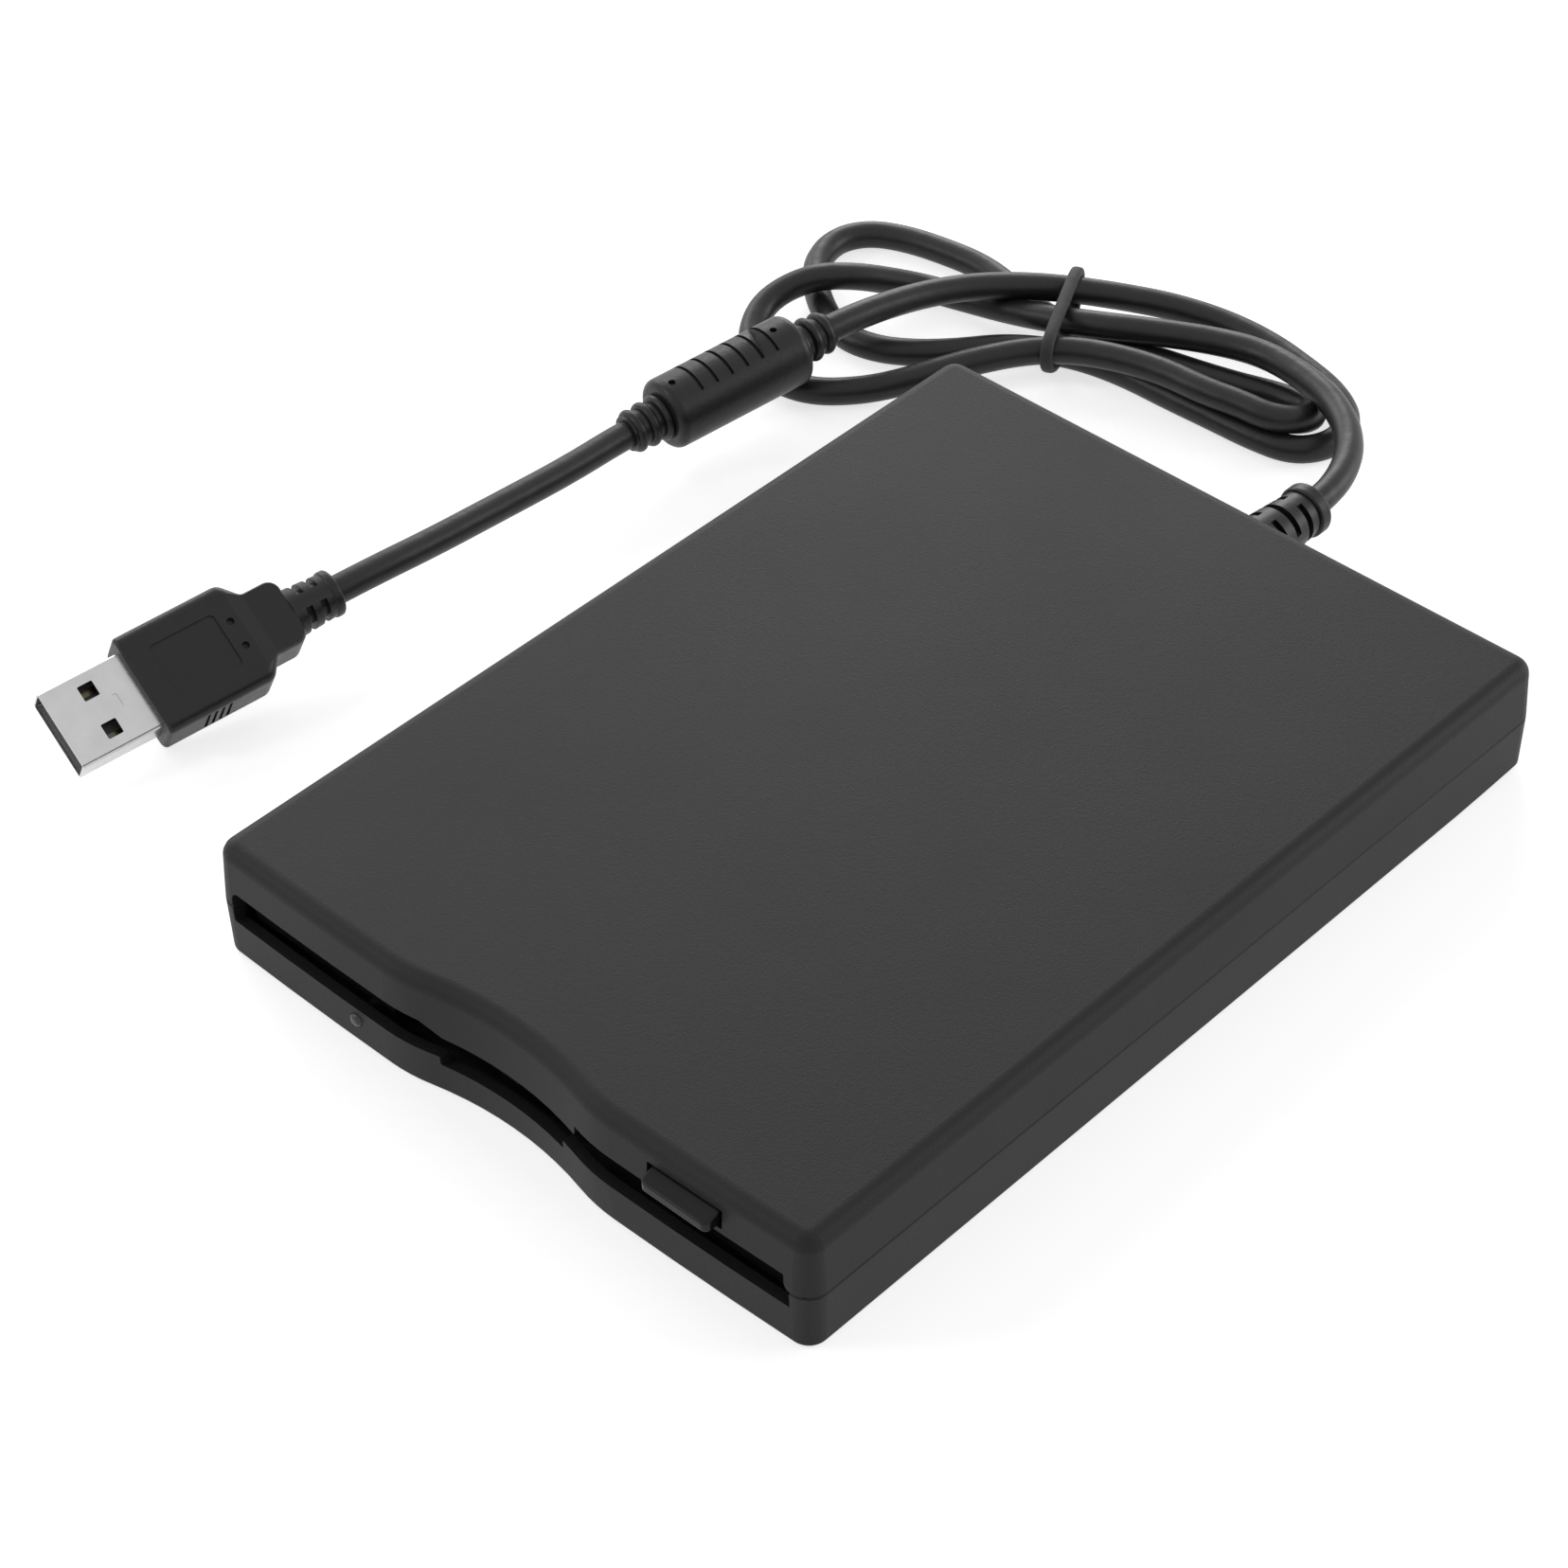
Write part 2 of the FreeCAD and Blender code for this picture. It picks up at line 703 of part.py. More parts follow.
def top_cover():
    body = body_for("TopCover")
    parting = size.parting_height
    rim = draw(body, "CoverRim", "XY_Plane", casing_outline(0), "parting_height")
    feature(body, "Pad", "CoverSkin", rim, Length="casing_height - parting_height",
            TaperAngle="-cover_draft")
    dress(body, "Fillet", "CoverEdge", flat_at(size.casing_height), "top_edge_radius")
    dress(body, "Chamfer", "CoverBevel", flat_at(parting), "parting_chamfer")
    wall = size.wall
    mouth = draw(body, "CoverMouth", "XY_Plane", casing_outline(wall), "parting_height")
    feature(body, "Pocket", "CoverHollow", mouth, Reversed=True,
            Length="casing_height - wall - parting_height", TaperAngle="-cover_draft")
    # Towers that take the screws from below.
    spots = mirror_spots(COVER_SCREW_X, COVER_SCREW_Y)
    tower = draw(body, "CoverTowers", "XY_Plane", circles(spots, size.screw_head + size.tower_wall),
                 "parting_height")
    feature(body, "Pad", "CoverTowerPad", tower,
            Length="casing_height - wall - parting_height + 0.2")
    pilot = draw(body, "CoverPilots", "XY_Plane", circles(spots, size.screw_shank),
                 "parting_height - 1")
    feature(body, "Pocket", "CoverPilotPocket", pilot, Reversed=True,
            Length="cover_screw_grip + 1.5")
    # Cheeks thicken the wall where the slot ends.
    left = size.slot_left - size.casing_width / 2
    right = size.casing_width / 2 - size.slot_right
    cheek = draw(body, "CoverCheeks", "XY_Plane", cheeks(left, right), "parting_height")
    feature(body, "Pad", "CoverCheekPad", cheek,
            Length="casing_height - wall - parting_height + 0.1")
    # Disk slot round the apron that hangs into the finger bay.
    below = parting - 1
    top = size.slot_top
    turn = size.slot_corner
    slot = [(left, below, 0), (right + turn + 0.1, below, 0),
            (right + turn + 0.1, parting, 0), (right + 0.1, parting, turn - 0.05),
            (right, top, 0.2), (size.apron_right, top, 0.15),
            (size.apron_right, size.apron_bottom, 0.3),
            (size.apron_left, size.apron_bottom, 1.3),
            (size.apron_left - 3.4, top, 1.6), (left, top, 1.3)]
    opening = draw(body, "CoverSlot", "XZ_Plane", rounded_loop(slot), "casing_depth / 2 + 1")
    feature(body, "Pocket", "CoverSlotPocket", opening, Length="bay_depth + wall + 2")
    # Window of the eject button, above a thin bar.
    half = size.button_width / 2 + size.button_gap
    sill = top + size.bar_height
    window = rectangle(size.button_x - half, size.button_x + half, sill,
                       sill + size.button_height + 0.7, 0.25)
    hole = draw(body, "ButtonWindow", "XZ_Plane", window, "casing_depth / 2 + 1")
    feature(body, "Pocket", "ButtonPocket", hole, Length="wall + 2.5")
    # Rebates for the flaps, then the ears that carry their pins.
    tall = size.flap_axis_z + size.flap_sheet / 2 + 0.2
    low = parting - 1
    wings = rectangle(left, -size.flap_inner + 0.5, low, tall)
    wings += rectangle(size.flap_inner - 0.5, right + 0.4, low, tall)
    rebate = draw(body, "CoverRebate", "XZ_Plane", wings,
                  f"flap_sheet / 2 + 0.15 - {FLAP_Y}")
    feature(body, "Pocket", "CoverRebatePocket", rebate, Length="2")
    inner = size.flap_inner - 0.3
    outer = worth(FLAP_OUT) + 0.3
    ear_low = size.flap_axis_z - size.flap_pin_radius - 0.4
    ear_top = size.casing_height - wall + 0.1
    ears = []
    for near, far in ((inner - size.flap_ear, inner), (outer, outer + size.flap_ear_reach)):
        ears += rectangle(near, far, ear_low, ear_top)
        ears += rectangle(-far, -near, ear_low, ear_top)
    ear = draw(body, "FlapEars", "XZ_Plane", ears, f"-{FLAP_Y} - flap_ear_depth / 2")
    feature(body, "Pad", "FlapEarPad", ear, Length="flap_ear_depth")
    # Bores of the flaps' pins; they stay clear of the finger bay between them.
    bore = circle(worth(FLAP_Y), size.flap_axis_z, size.flap_pin_radius + size.running_gap)
    for side, sign in (("Right", ""), ("Left", "-")):
        pins = draw(body, f"FlapBore{side}", "YZ_Plane", bore, f"{sign}(flap_inner - 1.6)")
        feature(body, "Pocket", f"FlapBorePocket{side}", pins, Reversed=side == "Right",
                Length=f"{FLAP_OUT} - flap_inner + 3.2")
    boot = draw(body, "CoverBootSeat", "XZ_Plane",
                circle(size.boot_x, size.boot_z, size.boot_root + 0.05),
                "-(casing_depth / 2 + 1)")
    feature(body, "Pocket", "CoverBootPocket", boot, Reversed=True, Length="wall + 1.5")
    return node("top_cover", body)


# --- Eject button: sloped top, rounded front corners ----------------------

def eject_button():
    body = body_for("EjectButton")
    front = -size.casing_depth / 2 + 0.1 - size.button_overhang
    low = size.slot_top + size.bar_height + 0.3
    high = low + size.button_height
    slope = size.button_slope
    corner = size.button_corner
    profile = [(front, low, 0), (front + 6.5, low, 0), (front + 6.5, high, 0),
               (front + 2.6, high, 0.8), (front, high - slope, 0)]
    side = draw(body, "ButtonSide", "YZ_Plane", rounded_loop(profile), "button_x")
    feature(body, "Pad", "ButtonPad", side, Midplane=True, Length="button_width")

    def front_corner(edge):
        box = edge.BoundBox
        upright = box.XLength < 1e-4 and box.YLength < 1e-4
        return upright and abs(box.YMin - front) < 1e-3

    def front_rim(edge):
        box = edge.BoundBox
        level = box.ZMax - box.ZMin < corner * slope
        return level and box.YMax < front + corner + 1e-3

    dress(body, "Fillet", "ButtonCorner", front_corner, "button_corner")
    dress(body, "Fillet", "ButtonRim", front_rim, "button_rim")
    return body


def button_with_stem():
    head = eject_button()
    back = "-casing_depth / 2 + 0.1 - button_overhang + 6.4"
    half = "button_width / 2 - 1"
    stem = block("ButtonStem", (f"button_x - ({half})", f"button_x + {half}"),
                 (back, f"{PLATE_FRONT} + 4"), (PLATE_TOP, f"{PLATE_TOP} + 1.2"))
    return node("eject_button", fuse("ButtonWhole", head, stem))


# --- Flaps behind the slot ------------------------------------------------

def dust_flap(side):
    sign = 1 if side == "right" else -1
    near = "flap_inner" if sign > 0 else mirrored(FLAP_OUT)
    far = FLAP_OUT if sign > 0 else "-flap_inner"
    half = "flap_sheet / 2"
    leaf = block(f"Leaf_{side}", (near, far), (f"{FLAP_Y} - {half}", f"{FLAP_Y} + {half}"),
                 ("flap_bottom", "flap_axis_z"))
    barrel = rod(f"Barrel_{side}", half, (FLAP_Y, "flap_axis_z"), (near, far), "X")
    pin = rod(f"FlapPin_{side}", "flap_pin_radius", (FLAP_Y, "flap_axis_z"),
              (f"{near} - 1.3", f"{far} + 1.3"), "X")
    return node(f"dust_flap_{side}", fuse(f"Flap_{side}", leaf, barrel, pin))


# --- Frame: folded steel tray that carries the mechanism ------------------

def frame():
    along = (FRAME_FRONT, FRAME_REAR)
    floor = block("FrameFloor", (mirrored(FRAME_OUT), FRAME_OUT), along,
                  ("frame_floor_z", FRAME_TOP))
    walls = both_sides("FrameWall", (FRAME_IN, FRAME_OUT), along,
                       ("frame_floor_z", "frame_wall_top"))
    pieces = [floor, *walls]
    for name, near in (("front", "stud_front_y + 15"), ("rear", "plate_rear - 10")):
        pieces += both_sides(f"FrameTab_{name}", (CARRIER_IN, f"{FRAME_IN} + 0.1"),
                             (near, f"{near} + 5"),
                             (f"{PLATE_TOP} + level_gap",
                              f"{PLATE_TOP} + level_gap + sheet_thickness"))
    rear_tab = f"({REAR} - rod_tab_rear)"
    pieces += [
        block("RodTabFront", ("rod_x - 3", "rod_x + 3"),
              ("rod_tab_front", "rod_tab_front + sheet_thickness"),
              (FRAME_TOP, "rod_z + rod_radius + 0.7")),
        block("RodTabRear", ("rod_x - 3", "rod_x + 3"),
              (rear_tab, f"{rear_tab} + sheet_thickness"),
              (FRAME_TOP, "rod_z + rod_radius + 0.7")),
        block("ScrewTab", ("screw_x - 2.5", "screw_x + 2.5"),
              ("rod_tab_front", "rod_tab_front + sheet_thickness"),
              (FRAME_TOP, "screw_z + journal_radius + 0.5")),
    ]
    for side, sign in (("right", ""), ("left", "-")):
        for corner, along_y in (("front", f"{BOARD_FRONT} + 2"),
                                ("rear", f"{BOARD_REAR} - 2")):
            for place, along_x in (("in", "side_board_inner + 2"),
                                   ("out", f"{BOARD_OUT} - 2")):
                pieces.append(rod(f"Stand_{side}_{corner}_{place}", "stand_radius",
                                  (f"{sign}({along_x})", along_y),
                                  (f"{FRAME_TOP} - 0.1", SIDE_BOARD_LOW)))
    tools = [rod("RotorHole", "rotor_radius + rotor_gap", ("0", "spindle_y"),
                 ("frame_floor_z - 1", f"{FRAME_TOP} + 1"))]
    stud_low = f"{STUD_Z} - disk_drop - stud_radius - slot_play"
    for name, stud_y in (("front", "stud_front_y"), ("rear", "stud_rear_y")):
        half = "(stud_radius + slot_play)"
        tools += both_sides(f"StudSlot_{name}", (f"{FRAME_IN} - 0.5", f"{FRAME_OUT} + 0.5"),
                            (f"{stud_y} - {half}", f"{stud_y} + {half}"),
                            (stud_low, "frame_wall_top + 1"))
    tools.append(rod("RodHoles", "rod_radius", ("rod_x", "rod_z"),
                     ("rod_front", f"{FRAME_REAR} + 1"), "Y"))
    tools.append(rod("JournalHole", "journal_radius + running_gap", ("screw_x", "screw_z"),
                     ("rod_tab_front - 1", "rod_tab_front + 2"), "Y"))
    for label, x in (("right", SWITCH_X), ("left", mirrored(SWITCH_X)),
                     ("third", THIRD_SWITCH_X)):
        tools.append(rod(f"PlungerHole_{label}", "plunger_radius + 0.3",
                         (x, SWITCH_Y), ("frame_floor_z - 1", f"{FRAME_TOP} + 0.5")))
    for side, x in (("right", FRAME_SCREW_X), ("left", mirrored(FRAME_SCREW_X))):
        for end, y in (("front", FRAME_SCREW_FRONT), ("rear", FRAME_SCREW_REAR)):
            tools.append(rod(f"FrameHole_{side}_{end}", "screw_shank + 0.1", (x, y),
                             ("frame_floor_z - 1", f"{FRAME_TOP} + 1")))
    return node("frame", cut("FrameWhole", fuse("FrameSheet", *pieces), *tools))


# --- Disk carrier: cradle on four studs that lowers the disk --------------

def lever_slot(name, low, high):
    """Arc slot that the latch lever's pin sweeps, as a ring sector."""
    centre = Vector(size.lever_x, size.lever_y, low)
    play = size.lever_pin_radius + 0.3
    reach = size.lever_reach
    start = size.lever_rest - math.degrees(play / reach)
    sweep = size.lever_swing + 2 * math.degrees(play / reach)
    outer = Part.makeCylinder(reach + play, high - low, centre, Vector(0, 0, 1), sweep)
    inner = Part.makeCylinder(reach - play, high - low, centre, Vector(0, 0, 1), sweep)
    sector = outer.cut(inner)
    sector.rotate(centre, Vector(0, 0, 1), start)
    made = doc.addObject("Part::Feature", name)
    made.Shape = sector
    return made


def disk_carrier():
    along = (f"{FRONT} + carrier_front", "disk_rear + 0.5")
    plate = block("CarrierPlate", (mirrored(CARRIER_OUT), CARRIER_OUT), along,
                  (CARRIER_TOP_LOW, CARRIER_TOP))
    walls = both_sides("CarrierWall", (CARRIER_IN, CARRIER_OUT), along,
                       (f"{FLANGE_TOP} - sheet_thickness", CARRIER_TOP))
    flanges = both_sides("CarrierFlange",
                         (f"{CARRIER_OUT} - carrier_flange", CARRIER_OUT), along,
                         (f"{FLANGE_TOP} - sheet_thickness", FLANGE_TOP))
    pieces = [plate, *walls, *flanges]
    for name, stud_y in (("front", "stud_front_y"), ("rear", "stud_rear_y")):
        tip = f"{FRAME_OUT} + 0.2"
        pieces.append(rod(f"Stud_{name}_right", "stud_radius", (stud_y, STUD_Z),
                          (f"{CARRIER_OUT} - 0.1", tip), "X"))
        pieces.append(rod(f"Stud_{name}_left", "stud_radius", (stud_y, STUD_Z),
                          (mirrored(tip), f"0.1 - ({CARRIER_OUT})"), "X"))
    level = size.disk_ready_z + size.disk_thickness + size.disk_headroom
    over = (f"{CARRIER_TOP_LOW} - 1", f"{CARRIER_TOP} + 1")
    notch = block("CarrierNotch", ("-head_notch_half", "head_notch_half"),
                  (NOTCH_FRONT, "disk_rear + 2"), over)
    window = block("CarrierWindow", ("-window_half", "window_half"),
                   ("window_front", "window_rear"), over)
    slot = lever_slot("CarrierLeverSlot", level - 1, level + size.sheet_thickness + 1)
    whole = cut("CarrierWhole", fuse("CarrierSheet", *pieces), notch, window, slot)
    return node("disk_carrier", whole)


# --- Eject plate: slides over the carrier, its ramps lift the studs -------

def ramp_tool(name, side, stud_y):
    """Sloped slot that turns the plate's slide into the carrier's lift."""
    travel = size.eject_travel
    drop = size.disk_drop
    slope = math.degrees(math.atan2(drop, travel))
    half = size.stud_radius + size.slot_play
    turn = Rotation(Vector(1, 0, 0), -slope)
    stud_z = size.disk_ready_z - 0.1 + size.stud_height
    reach = f"({PLATE_OUT} + 0.5)"
    low_x = f"{PLATE_IN} - 0.5" if side == "right" else f"-{reach}"
    high_x = reach if side == "right" else f"0.5 - ({PLATE_IN})"
    slab = doc.addObject("Part::Box", f"{name}_slab")
    slab.setExpression("Length", bound(f"({high_x}) - ({low_x})"))
    slab.setExpression("Width", bound("sqrt(eject_travel^2 + disk_drop^2)"))
    slab.setExpression("Height", bound("2 * (stud_radius + slot_play)"))
    corner = Vector(0, worth(stud_y), stud_z) - turn.multVec(Vector(0, 0, half))
    slab.Placement = Placement(corner, turn)
    slab.setExpression("Placement.Base.x", bound(low_x))
    ends = []
    for place, shift, lower in (("start", "0", "0"), ("end", "eject_travel", "disk_drop")):
        ends.append(rod(f"{name}_{place}", "stud_radius + slot_play",
                        (f"{stud_y} + {shift}", f"{STUD_Z} - {lower}"),
                        (low_x, high_x), "X"))
    return fuse(name, slab, *ends)


def eject_plate():
    across = (mirrored(PLATE_OUT), PLATE_OUT)
    plate = block("PlateTop", across, (PLATE_FRONT, "plate_rear"), (PLATE_LOW, PLATE_TOP))
    flange_low = f"{STUD_Z} - disk_drop - stud_radius - slot_play - 1"
    flanges = both_sides("PlateFlange", (PLATE_IN, PLATE_OUT),
                         (FLANGE_FRONT, FLANGE_REAR), (flange_low, PLATE_TOP))
    over = (f"{PLATE_LOW} - 1", f"{PLATE_TOP} + 1")
    notch_half = "head_notch_half + 1"
    tools = [
        block("PlateNotch", (mirrored(notch_half), notch_half),
              (f"{NOTCH_FRONT} - 2", "plate_rear + 1"), over),
        block("PlateWindow", ("-window_half", "window_half"),
              ("window_front + 6", "window_rear"), over),
    ]
    for side in ("right", "left"):
        for end in ("front", "rear"):
            tools.append(ramp_tool(f"Ramp_{side}_{end}", side, f"stud_{end}_y"))
    whole = cut("PlateWhole", fuse("PlateSheet", plate, *flanges), *tools)
    return node("eject_plate", whole)


# --- Latch lever: the disk's edge swings it, its spring returns it --------

def latch_lever():
    turn = Rotation(Vector(0, 0, 1), size.lever_rest)
    low = LEVER_LOW
    hub = rod("LeverHub", "lever_post_radius + 1.7", ("0", "0"), (low, LEVER_TOP))
    arm = block("LeverArm", ("0", "lever_reach"), ("-1.5", "1.5"), (low, LEVER_TOP))
    tip = rod("LeverTip", "lever_pin_radius + 0.6", ("lever_reach", "0"),
              (low, LEVER_TOP))
    pin = rod("LeverPin", "lever_pin_radius", ("lever_reach", "0"),
              ("lever_pin_bottom", LEVER_TOP))
    bore = rod("LeverBore", "lever_post_radius + running_gap", ("0", "0"),
               (f"{low} - 1", f"{LEVER_TOP} + 1"))
    whole = cut("LeverWhole", fuse("LeverSheet", hub, arm, tip, pin), bore)
    whole.Placement = Placement(Vector(size.lever_x, size.lever_y, 0), turn)
    node("latch_lever", whole)
    centre = ("lever_x", "lever_y")
    post = fuse("PostWhole",
                rod("PostShoulder", "lever_post_radius + 0.7", centre,
                    (FRAME_TOP, f"{LEVER_LOW} - 0.1")),
                rod("PostPin", "lever_post_radius", centre,
                    (FRAME_TOP, f"{LEVER_TOP} + 0.15")))
    node("lever_post", post)
    coils = []
    for turn_number in range(3):
        coil = doc.addObject("Part::Torus", f"SpringTurn{turn_number}")
        coil.setExpression("Radius1", bound("lever_post_radius + 1.2"))
        coil.setExpression("Radius2", bound("lever_spring_wire"))
        coil.setExpression("Placement.Base.x", bound("lever_x"))
        coil.setExpression("Placement.Base.y", bound("lever_y"))
        coil.setExpression("Placement.Base.z",
                           bound(f"{LEVER_LOW} - 0.5 - {turn_number} * 0.65"))
        coils.append(coil)
    node("lever_spring", group("SpringCoils", *coils))


# --- Spindle motor: flat rotor under the disk, stator on its board --------

def spindle():
    centre = ("0", "spindle_y")
    skirt_low = f"{FRAME_TOP} - 0.3"
    web = "rotor_top - 0.5"
    cup = rod("RotorDisc", "rotor_radius", centre, (skirt_low, "rotor_top"))
    inside = rod("RotorInside", "rotor_radius - rotor_skirt", centre, (skirt_low, web))
    eye = rod("RotorEye", "shaft_radius", centre, (web + " - 1", "rotor_top + 1"))
    node("rotor", cut("RotorWhole", cup, inside, eye))
    ring = rod("MagnetOuter", "rotor_radius - rotor_skirt", centre, (skirt_low, web))
    hole = rod("MagnetInner", "rotor_radius - rotor_skirt - magnet_width", centre,
               (f"{skirt_low} - 1", "rotor_top"))
    node("ring_magnet", cut("MagnetWhole", ring, hole))
    table = fuse("HubWhole",
                 rod("HubPlate", "hub_radius", centre, ("rotor_top", "rotor_top + hub_sheet")),
                 rod("HubPin", "hub_pin_radius", centre, ("rotor_top", "hub_pin_top")),
                 rod("Shaft", "shaft_radius", centre, ("frame_floor_z + 0.1", "rotor_top")))
    node("hub_table", table)
    node("drive_pin", rod("DrivePin", "drive_pin_radius",
                          ("drive_pin_offset", "spindle_y"),
                          ("rotor_top + hub_sheet", "hub_pin_top - 0.4")))
    board = block("MotorBoard", ("-rotor_radius - 5", "rotor_radius + 5"),
                  ("spindle_y - rotor_radius - 4", "spindle_y + rotor_radius + 6"),
                  (BOARD_LOW, "frame_floor_z"))
    node("motor_board", board)
    bearing = cut("BearingWhole",
                  rod("Bearing", "bearing_radius", centre, ("frame_floor_z", web + " - 0.1")),
                  rod("BearingBore", "shaft_radius + running_gap", centre,
                      ("frame_floor_z", "rotor_top")))
    node("spindle_bearing", bearing)
    coils = []
    for number in range(9):
        angle = math.radians(40 * number)
        coil = rod(f"Coil{number}", "coil_radius",
                   (f"coil_circle * {math.cos(angle):.6f}",
                    f"spindle_y + coil_circle * {math.sin(angle):.6f}"),
                   ("frame_floor_z", "frame_floor_z + coil_height"))
        eye = rod(f"CoilEye{number}", "coil_radius / 2.4",
                  (f"coil_circle * {math.cos(angle):.6f}",
                   f"spindle_y + coil_circle * {math.sin(angle):.6f}"),
                  ("frame_floor_z - 1", "frame_floor_z + coil_height + 1"))
        coils.append(cut(f"CoilRing{number}", coil, eye))
    node("stator_coils", group("Stator", *coils))


# --- Head drive: rod, lead screw, stepper, carriage and upper arm ---------

def head_drive():
    node("guide_rod", rod("GuideRod", "rod_radius", ("rod_x", "rod_z"),
                          ("rod_front", FRAME_REAR), "Y"))
    screw_at = ("screw_x", "screw_z")
    bearing_rear = f"{MOTOR_FRONT} + 2"
    screw = fuse("ScrewWhole",
                 rod("ScrewThread", "screw_radius", screw_at,
                     ("rod_tab_front + sheet_thickness + 0.4", f"{MOTOR_FRONT} - 0.3"),
                     "Y"),
                 rod("ScrewJournals", "journal_radius", screw_at,
                     ("rod_tab_front - 0.2", bearing_rear), "Y"))
    node("lead_screw", screw)
    flange = block("MotorFlange", ("screw_x - motor_flange / 2", "screw_x + motor_flange / 2"),
                   (MOTOR_FRONT, f"{MOTOR_FRONT} + sheet_thickness"),
                   (f"{FRAME_TOP} + 0.02", "screw_z + motor_radius + 0.2"))
    can = rod("MotorCan", "motor_radius", screw_at,
              (MOTOR_FRONT, f"{MOTOR_FRONT} + motor_length"), "Y")
    bore = rod("MotorBore", "journal_radius + running_gap", screw_at,
               (f"{MOTOR_FRONT} - 1", f"{bearing_rear} + 0.3"), "Y")
    node("stepper_motor", cut("MotorWhole", fuse("MotorSolid", flange, can), bore))
    front = f"({ARM_Y} - 6)"
    floor = f"{FRAME_TOP} + 0.3"
    arm_top = "disk_ready_z - disk_drop - 0.1"
    pieces = [
        rod("Sleeve", "sleeve_radius", ("rod_x", "rod_z"),
            (f"{front} + 1.2", f"{front} + 1.2 + sleeve_length"), "Y"),
        block("CarriageBody", ("-7.5", "rod_x - 3.3"), (front, f"{front} + 14"),
              (floor, "rod_z + 1")),
        block("SleeveWeb", ("rod_x - 3.4", "rod_x"), (f"{front} + 1.2", f"{front} + 14"),
              (floor, "rod_z + 1")),
        block("CarriageArm", ("-arm_half_width - 1", "arm_half_width + 1"),
              ("head_y - 0.4", f"{front} + 1"), (floor, arm_top)),
        block("CarriageNose", ("-arm_half_width", "arm_half_width"),
              ("head_y - 2.6", "head_y + 2.6"), (arm_top, f"{arm_top} + 0.8")),
        block("NutArm", ("screw_x + nut_radius - 0.4", "-7"),
              (f"{front} + 1.4", f"{front} + 3.4"), (floor, "lever_pin_bottom - 0.4")),
        rod("Nut", "nut_radius", screw_at, (f"{front} + 1.4", f"{front} + 3.4"), "Y"),
    ]
    pieces += both_sides("ArmEar", ("arm_half_width + 1.2", "arm_half_width + 2.5"),
                         (f"{ARM_Y} - 1.5", f"{ARM_Y} + 1.5"), ("rod_z", "arm_z + 1.2"))
    tools = [
        rod("SleeveBore", "rod_radius + running_gap", ("rod_x", "rod_z"),
            ("rod_front", FRAME_REAR), "Y"),
        rod("NutBore", "screw_radius + running_gap", screw_at,
            ("rod_front", MOTOR_FRONT), "Y"),
        rod("EarBore", "arm_pin_radius", (ARM_Y, "arm_z"),
            ("-arm_half_width - 3", "arm_half_width + 3"), "X"),
    ]
    node("head_carriage", cut("CarriageWhole", fuse("CarriageSolid", *pieces), *tools))
    node("lower_head", block("LowerHead", ("-head_half", "head_half"),
                             ("head_y - head_depth / 2", "head_y + head_depth / 2"),
                             (f"{arm_top} + 0.8", "head_top")))
    node("arm_pin", rod("ArmPin", "arm_pin_radius", (ARM_Y, "arm_z"),
                        ("-arm_half_width - 2.8", "arm_half_width + 2.8"), "X"))
    # The arm is made level about its pin, then tipped up to its parked pose.
    reach = f"({ARM_Y} - head_y)"
    tipped = Placement(Vector(0, worth(ARM_Y), size.arm_z),
                       Rotation(Vector(1, 0, 0), -size.arm_lift))
    tube = rod("ArmTube", "arm_pin_radius + 0.7", ("0", "0"),
               ("-arm_half_width - 0.9", "arm_half_width + 0.9"), "X")
    leaf = block("ArmLeaf", ("-arm_half_width", "arm_half_width"), (f"-{reach} - 2.4", "0"),
                 ("-arm_sheet", "0"))
    carrier = block("PadHolder", ("-arm_half_width", "arm_half_width"),
                    (f"-{reach} - 2.2", f"-{reach} + 2.2"), ("-arm_sheet - 1.2", "0"))
    bore = rod("ArmBore", "arm_pin_radius + running_gap", ("0", "0"),
               ("-arm_half_width - 2", "arm_half_width + 2"), "X")
    arm = cut("ArmWhole", fuse("ArmSolid", tube, leaf, carrier), bore)
    arm.Placement = tipped
    node("upper_arm", arm)
    pad = block("UpperHead", ("-head_half", "head_half"),
                (f"-{reach} - head_depth / 2", f"-{reach} + head_depth / 2"),
                ("head_top + 0.1 - arm_z", "-arm_sheet - 1.2"))
    stem = block("UpperHeadStem", ("-1.2", "1.2"), (f"-{reach} - 1.2", f"-{reach} + 1.2"),
                 ("head_top + 0.2 - arm_z", "-arm_sheet - 1.2"))
    head = fuse("UpperHeadWhole", pad, stem)
    head.Placement = tipped
    node("upper_head", head)


# --- Boards, switches, light pipe -----------------------------------------

